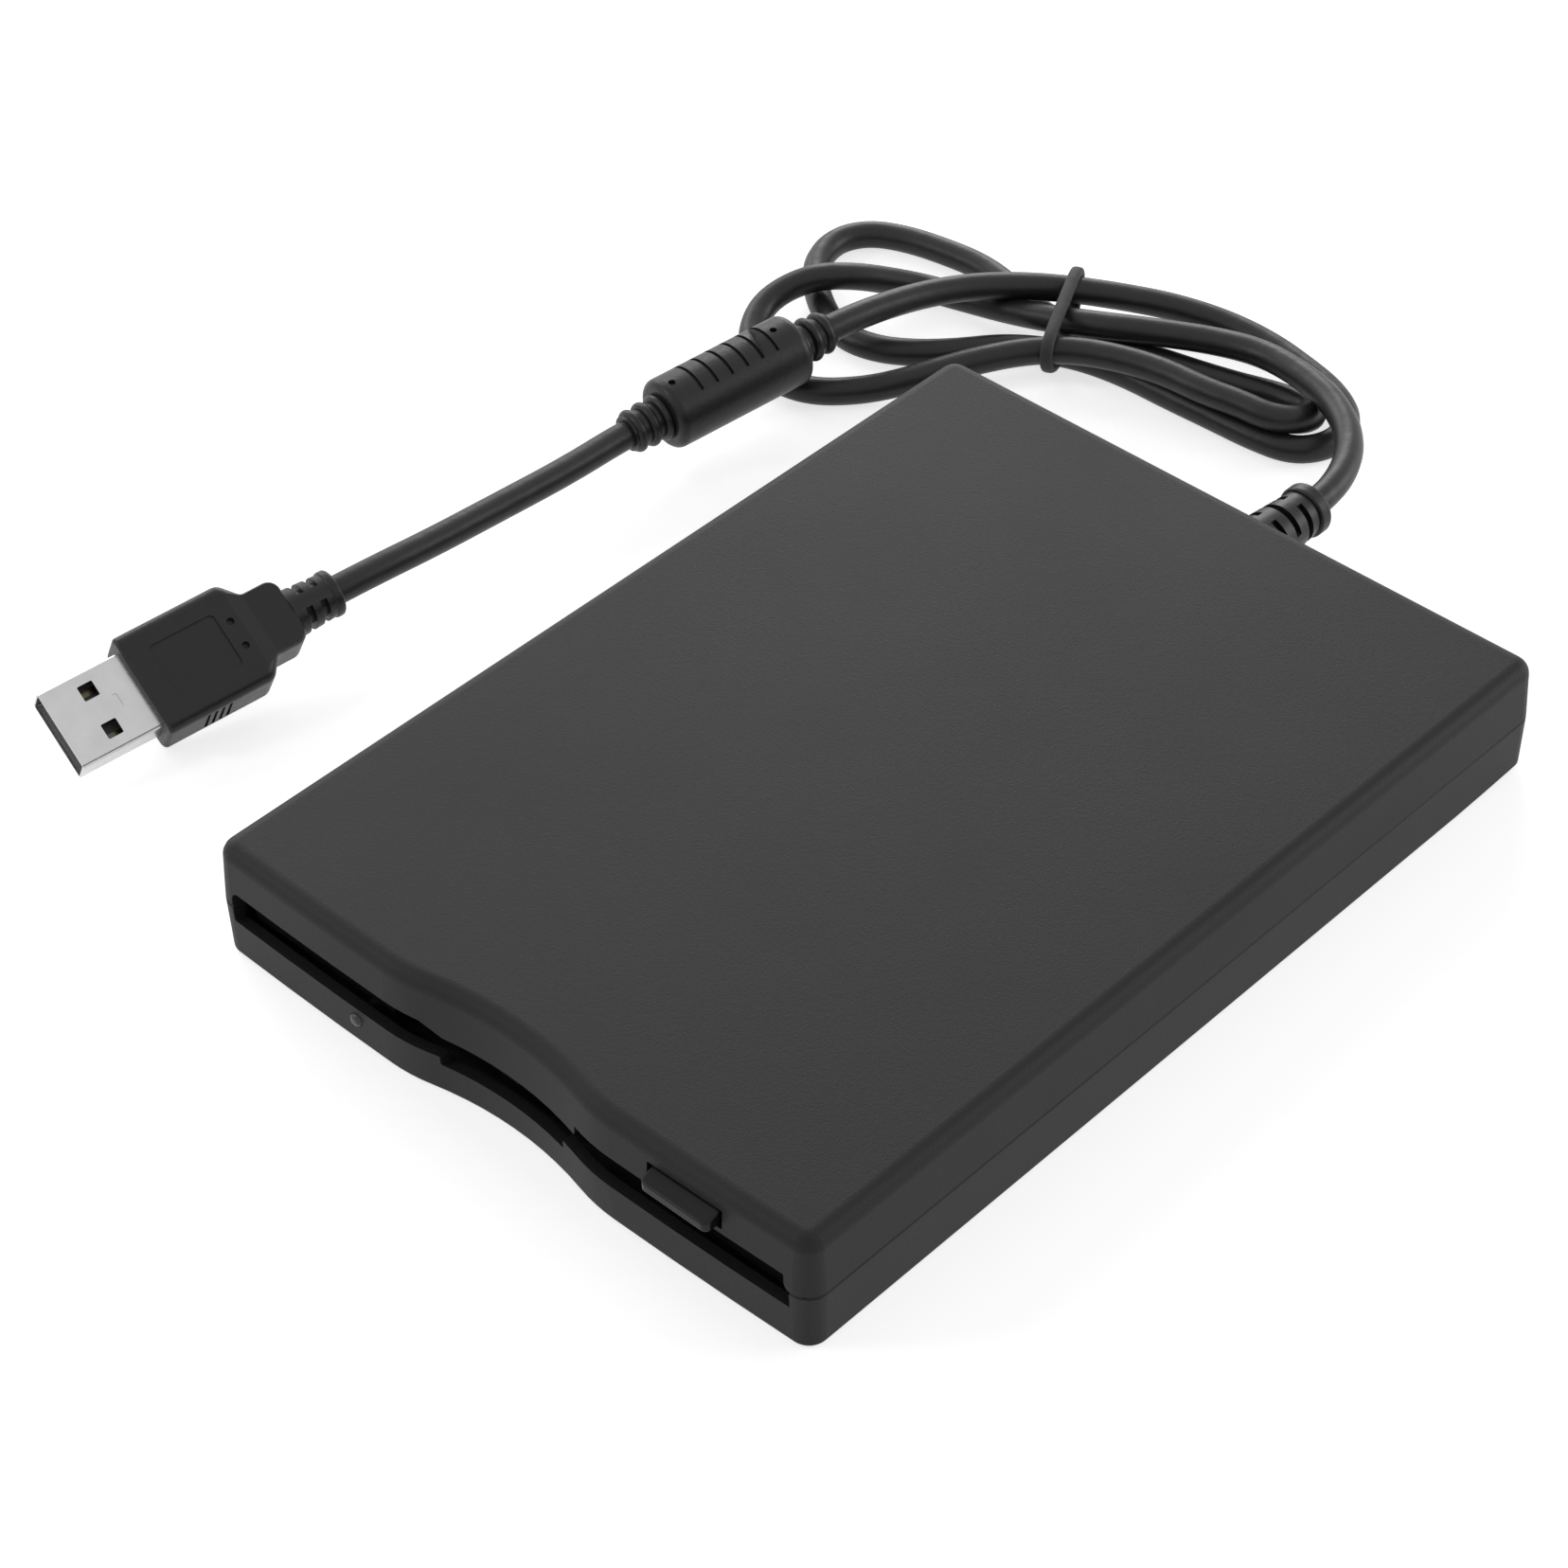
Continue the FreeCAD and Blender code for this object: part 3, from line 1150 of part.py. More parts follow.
def boards():
    for side, sign in (("right", 1), ("left", -1)):
        near = "side_board_inner" if sign > 0 else mirrored(BOARD_OUT)
        far = BOARD_OUT if sign > 0 else "-side_board_inner"
        name = "usb_board" if sign > 0 else "control_board"
        node(name, block(f"Board_{side}", (near, far), (BOARD_FRONT, BOARD_REAR),
                         (SIDE_BOARD_LOW, SIDE_BOARD_TOP)))
    # Chips are shares of the largest one; each stands a margin in from an edge.
    tall = (SIDE_BOARD_TOP, f"{SIDE_BOARD_TOP} + chip_height")
    low = f"{BOARD_FRONT} + chip_margin / 2"
    chips = [
        block("ControlChip", ("-side_board_inner - chip_margin - chip_side",
                              "-side_board_inner - chip_margin"),
              (low, f"{low} + chip_side"), tall),
        block("DriverChip", (f"chip_margin / 2 - {BOARD_OUT}",
                             f"chip_margin / 2 + chip_side / 2 - {BOARD_OUT}"),
              (low, f"{low} + 0.7 * chip_side"), tall),
        block("UsbChip", ("side_board_inner + chip_margin",
                          "side_board_inner + chip_margin + 0.8 * chip_side"),
              (low, f"{low} + 0.8 * chip_side"), tall),
        block("Crystal", ("side_board_inner + 1.5 * chip_side",
                          "side_board_inner + 2 * chip_side"),
              (low, f"{low} + 0.3 * chip_side"), tall),
    ]
    node("board_chips", group("Chips", *chips))
    node("cord_header", block("Header", (f"{BOARD_OUT} - header_edge - header_width",
                                         f"{BOARD_OUT} - header_edge"),
                              (f"{BOARD_REAR} - header_edge - header_depth",
                               f"{BOARD_REAR} - header_edge"),
                              (SIDE_BOARD_TOP, f"{SIDE_BOARD_TOP} + header_height")))


def switches():
    houses = []
    for label, x in (("write", SWITCH_X), ("density", mirrored(SWITCH_X)),
                     ("disk", THIRD_SWITCH_X)):
        house = block(f"House_{label}", (f"{x} - switch_case / 2", f"{x} + switch_case / 2"),
                      (f"{SWITCH_Y} - 0.4 * switch_case", f"{SWITCH_Y} + 0.4 * switch_case"),
                      (FRAME_TOP, f"{FRAME_TOP} + switch_case_height"))
        well = rod(f"Well_{label}", "plunger_radius + running_gap", (x, SWITCH_Y),
                   (f"{FRAME_TOP} - 1", f"{FRAME_TOP} + switch_case_height + 1"))
        houses.append(cut(f"HouseBored_{label}", house, well))
        node(f"plunger_{label}", rod(f"Plunger_{label}", "plunger_radius", (x, SWITCH_Y),
                                     ("plunger_top - plunger_length", "plunger_top")))
    node("switch_housings", group("Houses", *houses))


def light_pipe():
    at = ("lens_x", "lens_z")
    pipe_end = f"{FRAME_FRONT} + 1.5"
    pipe = rod("LensPipe", "lens_radius", at, (f"{FRONT} - lens_rise", pipe_end), "Y")
    dome = doc.addObject("Part::Fillet", "LensDome")
    dome.Base = pipe
    doc.recompute()
    rim = [i for i, edge in enumerate(pipe.Shape.Edges, 1)
           if edge.BoundBox.YMax < -size.casing_depth / 2]
    dome.Edges = [(i, size.lens_round, size.lens_round) for i in rim]
    node("status_lens", dome)
    node("status_led", block("Led", ("lens_x - led_width / 2", "lens_x + led_width / 2"),
                             (pipe_end, f"{pipe_end} + led_depth"),
                             (FRAME_TOP, f"{FRAME_TOP} + led_height")))


def fasteners():
    frame_screws = []
    for side, x in (("right", FRAME_SCREW_X), ("left", mirrored(FRAME_SCREW_X))):
        for end, y in (("front", FRAME_SCREW_FRONT), ("rear", FRAME_SCREW_REAR)):
            name = f"FrameScrew_{side}_{end}"
            frame_screws.append(fuse(
                name,
                rod(f"{name}_head", "screw_head", (x, y), (FRAME_TOP, f"{FRAME_TOP} + 0.8")),
                rod(f"{name}_shank", "screw_shank", (x, y), ("wall + 0.1", FRAME_TOP))))
    node("frame_screws", group("FrameScrews", *frame_screws))
    cover_screws = []
    for side, x in (("right", COVER_SCREW_X), ("left", mirrored(COVER_SCREW_X))):
        name = f"CoverScrew_{side}"
        at = (x, COVER_SCREW_Y)
        cover_screws.append(fuse(
            name,
            rod(f"{name}_head", "screw_head", at,
                ("cover_screw_seat - 1.4", "cover_screw_seat")),
            rod(f"{name}_shank", "screw_shank", at,
                ("cover_screw_seat", "parting_height + cover_screw_grip"))))
    node("cover_screws", group("CoverScrews", *cover_screws))
    pads = []
    for side, x in (("right", PAD_X), ("left", mirrored(PAD_X))):
        for end, y in (("front", PAD_FRONT), ("rear", PAD_REAR)):
            pads.append(rod(f"Pad_{side}_{end}", "pad_radius - 0.1", (x, y),
                            ("0", "pad_thickness")))
    node("rubber_pads", group("Pads", *pads))


# --- Boot of the cord at the rear -----------------------------------------

def slotted_cone(prefix, radii, at, reach, core, count, first, pitch, axis):
    """Tapered boot and the rings that cut its slots, each with where it starts."""
    boot = cone(f"{prefix}Cone", radii, at, reach, axis)
    tools = []
    for number in range(count):
        start = f"{reach[0]} + {first} + {number} * {pitch}"
        ring = cut(f"{prefix}Ring{number}",
                   rod(f"{prefix}RingOut{number}", f"{radii[0]} + 2", at,
                       (start, f"{start} + boot_slot"), axis),
                   rod(f"{prefix}RingIn{number}", core, at,
                       (f"{start} - 1", f"{start} + 3"), axis))
        tools.append((ring, start))
    return boot, tools


def cord_boot():
    at = ("boot_x", "boot_z")
    wall_face = "casing_depth / 2"
    tip = f"{wall_face} + boot_length"
    collar = f"{tip} - boot_collar"
    boot, rings = slotted_cone("Boot", ("boot_root - 0.1", "boot_end"), at,
                               (wall_face, collar), "cord_radius + 0.7", 4, "1.3",
                               "boot_slot_pitch", "Y")
    tools = []
    # The webs between the slots stand upright and level by turns.
    for number, (ring, start) in enumerate(rings):
        span = (f"{start} - 1", f"{start} + 3")
        wide = "boot_web" if number % 2 else "(boot_root + 2)"
        tall = "(boot_root + 2)" if number % 2 else "boot_web"
        web = block(f"{ring.Name}Web", (f"boot_x - {wide}", f"boot_x + {wide}"), span,
                    (f"boot_z - {tall}", f"boot_z + {tall}"))
        tools.append(cut(f"{ring.Name}Open", ring, web))
    whole = fuse("BootWhole", cut("BootSlotted", boot, *tools),
                 rod("BootNeck", "boot_root", at, (f"{wall_face} - wall", wall_face), "Y"),
                 rod("BootFlange", "boot_root + boot_flange_rise", at,
                     (f"{wall_face} - wall - 2", f"{wall_face} - wall - 0.5"), "Y"),
                 rod("BootInner", "boot_root", at,
                     (f"{wall_face} - wall - 0.5", f"{wall_face} - wall"), "Y"),
                 softened("BootCollar",
                          rod("BootCollarDisc", "boot_end + boot_collar_rise", at,
                              (collar, tip), "Y"), size.boot_collar_rise))
    node("cord_boot", whole)


# --- Cord -----------------------------------------------------------------
# Straight runs joined by tangent arcs; the coil is one closed solid.

def tube(label, points, radius):
    """Round tube along straight runs with an arc at each inner point."""
    route = [Vector(*point) for point in points]
    edges = []
    tight = []
    start = route[0]
    for before, here, after in zip(route, route[1:], route[2:]):
        back = before - here
        ahead = after - here
        half = (math.pi - back.getAngle(ahead)) / 2
        run = 0.45 * min(back.Length, ahead.Length)
        bend = run / math.tan(half)
        tight.append(bend)
        arc_start = here + back.normalize() * run
        arc_end = here + ahead.normalize() * run
        middle = (back + ahead).normalize()
        centre_way = bend / math.cos(half) - bend
        edges.append(Part.LineSegment(start, arc_start).toShape())
        edges.append(Part.Arc(arc_start, here + middle * centre_way, arc_end).toShape())
        start = arc_end
    edges.append(Part.LineSegment(start, route[-1]).toShape())
    wire = Part.Wire(edges)
    way = route[1] - route[0]
    ring = Part.Wire([Part.makeCircle(radius, route[0], way)])
    pipe = wire.makePipeShell([ring], True, False)
    made = doc.addObject("Part::Feature", label.title().replace("_", ""))
    made.Shape = pipe
    made.Placement = Placement()
    section = math.pi * radius ** 2
    print(f"{label}: length {wire.Length:.1f}, volume ratio "
          f"{pipe.Volume / (section * wire.Length):.4f}, bend radii",
          " ".join(f"{bend:.0f}" for bend in tight))
    return node(label, made)


# Middle of the bundle where the rubber ring holds it, and the ring's turn.
TIE_CENTRE = Vector(-55.7, 102.1, 0)
TIE_TURN = -63.0
# Front end of the filter bead's body and the way its axis points.
BEAD_FRONT = Vector(-80.92, 40.53, 8.56)
BEAD_WAY = Vector(0.1603, 0.9855, 0.0549).normalize()
# Root of the plug's shell, the way its tip points and the way its top faces.
PLUG_ROOT = Vector(-90.87, -50.33, 7.05)
PLUG_WAY = Vector(-0.1728, -0.98227, -0.07267)
PLUG_TOP = Vector(0.50943, -0.15228, 0.84693)


def turned_to(way, top):
    """Rotation that takes +X to a direction and +Z as near as it can to another."""
    ahead = Vector(way).normalize()
    across = Vector(top).cross(ahead).normalize()
    up = ahead.cross(across)
    return Rotation(ahead, across, up, "XZY")


def cords():
    rear = size.casing_depth / 2 + size.boot_length
    bead_rear = BEAD_FRONT + BEAD_WAY * (size.bead_length + size.collar_length)
    bead_end = BEAD_FRONT - BEAD_WAY * size.collar_length
    plug_end = PLUG_ROOT - PLUG_WAY * size.plug_boot_end
    radius = size.cord_radius
    tube("cord_device_end", [
        (size.boot_x, rear, size.boot_z), (size.boot_x, rear + 5.6, size.boot_z),
        (-0.6, 97.4, 8.9),
        (-5.2, 103.6, 8.6), (-11.4, 108.3, 8.0), (-19.0, 110.9, 7.0)], radius)
    tube("cord_bead_end", [
        (-60.2, 107.2, 5.6), (-66.6, 101.2, 6.4), (-71.2, 93.6, 7.6), (-74.1, 84.0, 9.6),
        tuple(bead_rear + BEAD_WAY * 3), tuple(bead_rear)], radius)
    tube("cord_in_bead", [tuple(bead_rear), tuple(bead_end)], radius)
    tube("cord_plug_end", [
        tuple(bead_end), tuple(bead_end - BEAD_WAY * 5), (-83.0, 17.4, 7.9), (-83.1, 4.6, 8.7),
        (-83.9, -7.6, 9.5), tuple(plug_end - PLUG_WAY * 4), tuple(plug_end)], radius)


def cord_hank():
    lower = [(-7.0, 104.4), (-6.4, 113.0), (-15.0, 120.6), (-31.0, 124.4), (-48.0, 120.8),
             (-62.5, 109.4), (-77.0, 110.2), (-93.0, 108.6), (-102.2, 102.6),
             (-101.6, 90.4), (-97.6, 83.6), (-98.8, 74.0), (-90.0, 65.4), (-77.0, 62.6),
             (-65.4, 71.4), (-51.4, 92.2), (-40.0, 97.4), (-19.0, 98.0)]
    upper = [(-10.8, 101.6), (-12.0, 111.4), (-27.0, 116.6), (-47.5, 117.4),
             (-61.5, 110.4), (-66.0, 104.6), (-57.0, 95.6), (-44.0, 98.4), (-26.0, 98.0)]
    slabs = []
    for name, outline, low, high in (("Lower", lower, "hank_low", "hank_middle"),
                                     ("Upper", upper, "hank_middle - 0.1", "hank_high")):
        body = body_for(f"Hank{name}")
        loop = rounded_loop([(x, y, 3.2) for x, y in outline])
        sketch = draw(body, f"Hank{name}Outline", "XY_Plane", loop, low)
        feature(body, "Pad", f"Hank{name}Pad", sketch, Length=f"{high} - ({low})")
        slabs.append(body)
    node("cord_hank", fuse("HankWhole", *slabs))


def hank_tie():
    """Flat rubber ring pushed over the bundle of the coil."""
    half = size.tie_half
    low = size.hank_low
    high = size.hank_high + 0.1
    thick = size.tie_thickness
    body = body_for("HankTie")
    ring = rectangle(-half - thick, half + thick, low, high + thick, 2.4)
    ring += rectangle(-half, half, low + 0.8, high, 1.6)
    sketch = draw(body, "TieOutline", "XZ_Plane", ring)
    feature(body, "Pad", "TiePad", sketch, Midplane=True, Length="tie_width")
    body.Placement = Placement(TIE_CENTRE, Rotation(Vector(0, 0, 1), TIE_TURN))
    node("hank_tie", body)


# --- Filter bead: ferrite core in a grooved moulding ----------------------

def filter_bead():
    along = ("0", "bead_length")
    pose = Placement(BEAD_FRONT, turned_to(BEAD_WAY, Vector(0, 0, 1)))
    at = ("0", "0")
    pieces = [softened("BeadSoft", rod("BeadDrum", "bead_radius", at, along, "X"),
                       size.bead_edge)]
    # Collars: a sleeve with three round rings at each end.
    for end, face, way in (("Front", "0", "-"), ("Rear", "bead_length", "+")):
        tip = f"{face} {way} collar_length"
        reach = (tip, face) if way == "-" else (face, tip)
        pieces.append(rod(f"Collar{end}", "cord_radius + collar_wall", at, reach, "X"))
        for number in range(3):
            swell = doc.addObject("Part::Torus", f"Collar{end}Ring{number}")
            swell.Placement.Rotation = AXIS_TURN["X"]
            swell.setExpression("Radius1", bound(
                f"collar_radius - collar_ring - {number} * collar_taper"))
            swell.setExpression("Radius2", bound("collar_ring"))
            swell.setExpression("Placement.Base.x", bound(
                f"{face} {way} (collar_ring_first + {number} * collar_ring_pitch)"))
            pieces.append(swell)
    # Grooves across the bead's top and a pin's dot near each end.
    tools = []
    for number in range(6):
        middle = f"bead_length / 2 + {number - 2.5} * bead_groove_pitch"
        span = (f"{middle} - bead_groove / 2", f"{middle} + bead_groove / 2")
        band = cut(f"GrooveBand{number}",
                   block(f"GrooveBlock{number}", span, ("-bead_groove_half", "bead_groove_half"),
                         ("0", "bead_radius + 1")),
                   rod(f"GrooveFloor{number}", "bead_radius - bead_groove_depth", at,
                       ("-1", "bead_length + 1"), "X"))
        tools.append(band)
    for end, middle in (("Front", "2.1"), ("Rear", "bead_length - 3.8")):
        tools.append(rod(f"BeadDot{end}", "pin_dot_radius", (middle, "-0.45"),
                         ("bead_radius - pin_dot_depth", "bead_radius + 1")))
    core_low = "(bead_length - core_length) / 2"
    core_high = "(bead_length + core_length) / 2"
    tools += [
        cut("BeadCavity", rod("CavityOut", "core_radius + 0.05", at, (core_low, core_high), "X"),
            rod("CavityIn", "core_bore - 0.05", at, ("-1", "bead_length + 1"), "X")),
        rod("BeadBore", "cord_radius + 0.03", at,
            ("-collar_length - 1", "bead_length + collar_length + 1"), "X"),
    ]
    shell = cut("BeadWhole", fuse("BeadSolid", *pieces), *tools)
    shell.Placement = pose
    node("bead_moulding", shell)
    core = cut("CoreWhole",
               rod("CoreOut", "core_radius", at, (f"{core_low} + 0.05", f"{core_high} - 0.05"),
                   "X"),
               rod("CoreIn", "core_bore", at, ("-1", "bead_length + 1"), "X"))
    core.Placement = pose
    node("ferrite_core", core)


# --- USB plug -------------------------------------------------------------

def plug():
    pose = Placement(PLUG_ROOT, turned_to(PLUG_WAY, PLUG_TOP))
    at = ("0", "0")
    body = body_for("PlugGrip")
    wide = size.plug_width / 2
    neck = size.neck_width / 2
    turn = size.shoulder_round
    hollow = size.shoulder_hollow
    rear = -size.neck_end
    outline = [(0, -wide, 0), (0, wide, 0), (-size.plug_length, wide, turn),
               (-size.shoulder_end, neck, hollow), (rear, neck, turn),
               (rear, -neck, turn), (-size.shoulder_end, -neck, hollow),
               (-size.plug_length, -wide, turn)]
    full = draw(body, "GripOutline", "XY_Plane", rounded_loop(outline))
    feature(body, "Pad", "GripPad", full, Midplane=True, Length="plug_height")

    def long_rim(edge):
        box = edge.BoundBox
        rim = abs(abs(box.ZMin) - size.plug_height / 2) < 1e-4
        return rim and box.ZMax - box.ZMin < 1e-4 and box.XMin < -1e-3

    def front_face(edge):
        return abs(edge.BoundBox.XMin) < 1e-4 and abs(edge.BoundBox.XMax) < 1e-4

    dress(body, "Fillet", "GripRim", long_rim, "plug_edge")
    dress(body, "Fillet", "GripFront", front_face, "plug_front_edge")
    # The neck is lower than the grip.
    high = size.plug_height / 2
    low = size.neck_height / 2
    relief = []
    for side in (-1, 1):
        relief += rounded_loop([(-size.plug_length, side * high, 0),
                                (-size.shoulder_end, side * low, 1.0),
                                (rear - 1, side * low, 0), (rear - 1, side * (high + 1), 0),
                                (-size.plug_length, side * (high + 1), 0)])
    neck_cut = draw(body, "NeckRelief", "XZ_Plane", relief)
    feature(body, "Pocket", "NeckReliefPocket", neck_cut, Midplane=True,
            Length="plug_width + 2")
    recess_half = size.plug_width / 2 - size.recess_side
    recess = draw(body, "TopRecess", "XY_Plane",
                  rectangle(-size.plug_length + size.recess_rear, -size.recess_front,
                            -recess_half, recess_half, 0.8), "plug_height / 2")
    feature(body, "Pocket", "TopRecessPocket", recess, Length="recess_depth")
    dots = draw(body, "PinDots", "XY_Plane",
                circles([(-size.plug_dot_x, side * size.plug_dot_y) for side in (-1, 1)],
                        size.pin_dot_radius), "plug_height / 2 + 1")
    feature(body, "Pocket", "PinDotPocket", dots, Length="pin_dot_depth + 1")
    seat = draw(body, "ShellSeat", "YZ_Plane",
                rectangle(-size.shell_width / 2 - 0.02, size.shell_width / 2 + 0.02,
                          -size.shell_height / 2 - 0.02, size.shell_height / 2 + 0.02, 0.62),
                "0.5")
    feature(body, "Pocket", "ShellSeatPocket", seat, Length="shell_seat + 0.52")
    ribs = []
    for number in range(4):
        low = -size.rib_first - number * size.rib_pitch
        for side in (-1, 1):
            ribs += rectangle(low - size.rib_width, low,
                              *sorted((side * (wide - size.rib_depth), side * (wide + 1))))
    grip = draw(body, "GripRibs", "XY_Plane", ribs)
    feature(body, "Pocket", "GripRibPocket", grip, Midplane=True, Length="plug_height - 3.4")
    boot, rings = slotted_cone("PlugBoot", ("cord_radius + 1.1", "collar_radius"), at,
                               ("-plug_boot_end + 1", "-neck_end + 0.3"),
                               "cord_radius + 0.4", 2, "1.5", "2.3", "X")
    tools = []
    for ring, start in rings:
        web = block(f"{ring.Name}Web", (f"{start} - 1", f"{start} + 3"), ("-boot_web", "boot_web"),
                    ("-collar_radius - 2", "collar_radius + 2"))
        tools.append(cut(f"{ring.Name}Open", ring, web))
    collar = softened("PlugCollar",
                      rod("PlugCollarDisc", "collar_radius - collar_taper", at,
                          ("-plug_boot_end", "-plug_boot_end + 2 * collar_ring"), "X"), 0.5)
    grip_whole = fuse("PlugWhole", body, cut("PlugBootSlotted", boot, *tools), collar)
    grip_whole.Placement = pose
    node("plug_overmould", grip_whole)

    shell_body = body_for("PlugShell")
    half_wide = size.shell_width / 2
    half_tall = size.shell_height / 2
    skin = size.shell_sheet
    turn = size.shell_corner
    section = rectangle(-half_wide, half_wide, -half_tall, half_tall, turn)
    section += rectangle(-half_wide + skin, half_wide - skin,
                         -half_tall + skin, half_tall - skin, turn - skin)
    sleeve = draw(shell_body, "ShellSection", "YZ_Plane", section, "-shell_seat")
    feature(shell_body, "Pad", "ShellPad", sleeve, Length="shell_seat + shell_reach")
    window = size.shell_window / 2
    middle = size.shell_reach - size.shell_window_x
    windows = []
    for side in (-1, 1):
        y = side * size.shell_window_y
        windows += rectangle(middle - window, middle + window, y - window, y + window, 0.2)
    catches = draw(shell_body, "ShellWindows", "XY_Plane", windows)
    feature(shell_body, "Pocket", "ShellWindowPocket", catches, Midplane=True,
            Length="shell_height + 2")
    eye_x = size.shell_reach - size.shell_eye_x
    eye = draw(shell_body, "ShellEye", "XY_Plane",
               rectangle(eye_x - 0.4, eye_x + 0.4, -1.1, 1.1, 0.38), "shell_height / 2")
    feature(shell_body, "Pocket", "ShellEyePocket", eye, Length="shell_sheet / 2")
    shell_body.Placement = pose
    node("plug_shell", shell_body)
    inner_wide = "shell_width / 2 - shell_sheet - tongue_play"
    inner_low = "tongue_play + shell_sheet - shell_height / 2"
    tongue = fuse("TongueWhole",
                  block("TongueBlade", ("-0.5", "shell_reach - 0.8"),
                        (f"-({inner_wide})", inner_wide), (inner_low, "-0.1")),
                  block("TongueRoot", ("-shell_seat", "0"),
                        (f"-({inner_wide})", inner_wide), (inner_low, f"-({inner_low})")))
    tongue.Placement = pose
    node("plug_tongue", tongue)
    strips = []
    for number, (middle_y, reach) in enumerate(((-3.5, 1.2), (-1, 2.2), (1, 2.2), (3.5, 1.2))):
        strips.append(block(f"Contact{number}", ("0", f"shell_reach - {reach}"),
                            (f"{middle_y} - 0.5", f"{middle_y} + 0.5"), ("-0.1", "0.05")))
    contacts = group("Contacts", *strips)
    contacts.Placement = pose
    node("plug_contacts", contacts)


for build in (base_shell, top_cover, button_with_stem):
    build()
for side in ("left", "right"):
    dust_flap(side)
for build in (frame, disk_carrier, eject_plate, latch_lever, spindle, head_drive, boards,
              switches, light_pipe, fasteners, cord_boot, cords, cord_hank, hank_tie,
              filter_bead, plug):
    build()
doc.recompute()

failed = [obj.Name for obj in doc.Objects
          if "Invalid" in obj.State or "Error" in obj.State]
if failed:
    raise RuntimeError(f"features that failed: {failed}")
for piece in nodes:
    if piece.Shape.isNull() or not piece.Shape.isValid():
        raise RuntimeError(f"{piece.Label} has no valid shape")
os.makedirs("parts", exist_ok=True)
for piece in nodes:
    piece.Shape.exportStep(f"parts/{piece.Label}.step")
print(len(nodes), "nodes")
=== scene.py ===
import bpy
import numpy as np
from mathutils import Matrix, Vector


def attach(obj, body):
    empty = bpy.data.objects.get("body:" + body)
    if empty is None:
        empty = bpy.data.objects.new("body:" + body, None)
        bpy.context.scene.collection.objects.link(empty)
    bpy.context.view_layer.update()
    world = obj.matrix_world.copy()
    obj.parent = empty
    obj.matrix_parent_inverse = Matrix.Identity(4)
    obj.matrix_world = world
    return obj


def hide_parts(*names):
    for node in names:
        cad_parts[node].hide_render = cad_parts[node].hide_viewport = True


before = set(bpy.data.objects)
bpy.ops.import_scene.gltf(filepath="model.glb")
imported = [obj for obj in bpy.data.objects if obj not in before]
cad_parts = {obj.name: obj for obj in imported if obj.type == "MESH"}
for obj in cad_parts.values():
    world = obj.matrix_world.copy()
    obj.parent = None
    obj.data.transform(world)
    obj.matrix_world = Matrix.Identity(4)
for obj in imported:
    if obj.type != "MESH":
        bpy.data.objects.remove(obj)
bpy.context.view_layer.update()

# --- Camera ---
# A long lens looks down on the drive from in front and to its right, as a
# product is shot on a table, and leans by about one degree.

MM = 0.001
VIEW_AZIMUTH = np.radians(43.836)
VIEW_ELEVATION = np.radians(41.512)
VIEW_ROLL = np.radians(-1.084)
VIEW_DISTANCE = 546.015 * MM
VIEW_TARGET = Vector((-12.343, -6.634, 9.0)) * MM
LENS_PIXELS = 4418.4
FRAME_PIXELS = 1656
SENSOR = 36.0
NEAR_CLIP = 0.01


def aimed_camera():
    """Camera on a ray from the target: its axes are the ray's right and up, rolled."""
    flat = np.cos(VIEW_ELEVATION)
    back = Vector((np.sin(VIEW_AZIMUTH) * flat, -np.cos(VIEW_AZIMUTH) * flat,
                   np.sin(VIEW_ELEVATION)))
    right = Vector((np.cos(VIEW_AZIMUTH), np.sin(VIEW_AZIMUTH), 0))
    up = back.cross(right)
    across = right * np.cos(VIEW_ROLL) + up * np.sin(VIEW_ROLL)
    upward = up * np.cos(VIEW_ROLL) - right * np.sin(VIEW_ROLL)
    data = bpy.data.cameras.new("Camera")
    data.lens = LENS_PIXELS / FRAME_PIXELS * SENSOR
    data.sensor_width = SENSOR
    data.clip_start = NEAR_CLIP
    camera = bpy.data.objects.new("Camera", data)
    bpy.context.scene.collection.objects.link(camera)
    turn = Matrix((across, upward, back)).transposed().to_4x4()
    camera.matrix_world = Matrix.Translation(VIEW_TARGET + back * VIEW_DISTANCE) @ turn
    bpy.context.scene.camera = camera


aimed_camera()

# --- Cord ---
# Round black PVC cable, 4.2 mm thick, with a dull gloss and the slight waviness
# of its extrusion.  It leaves the rear, is laid in a flat bundle of loops, runs
# through the filter bead and ends in the plug.

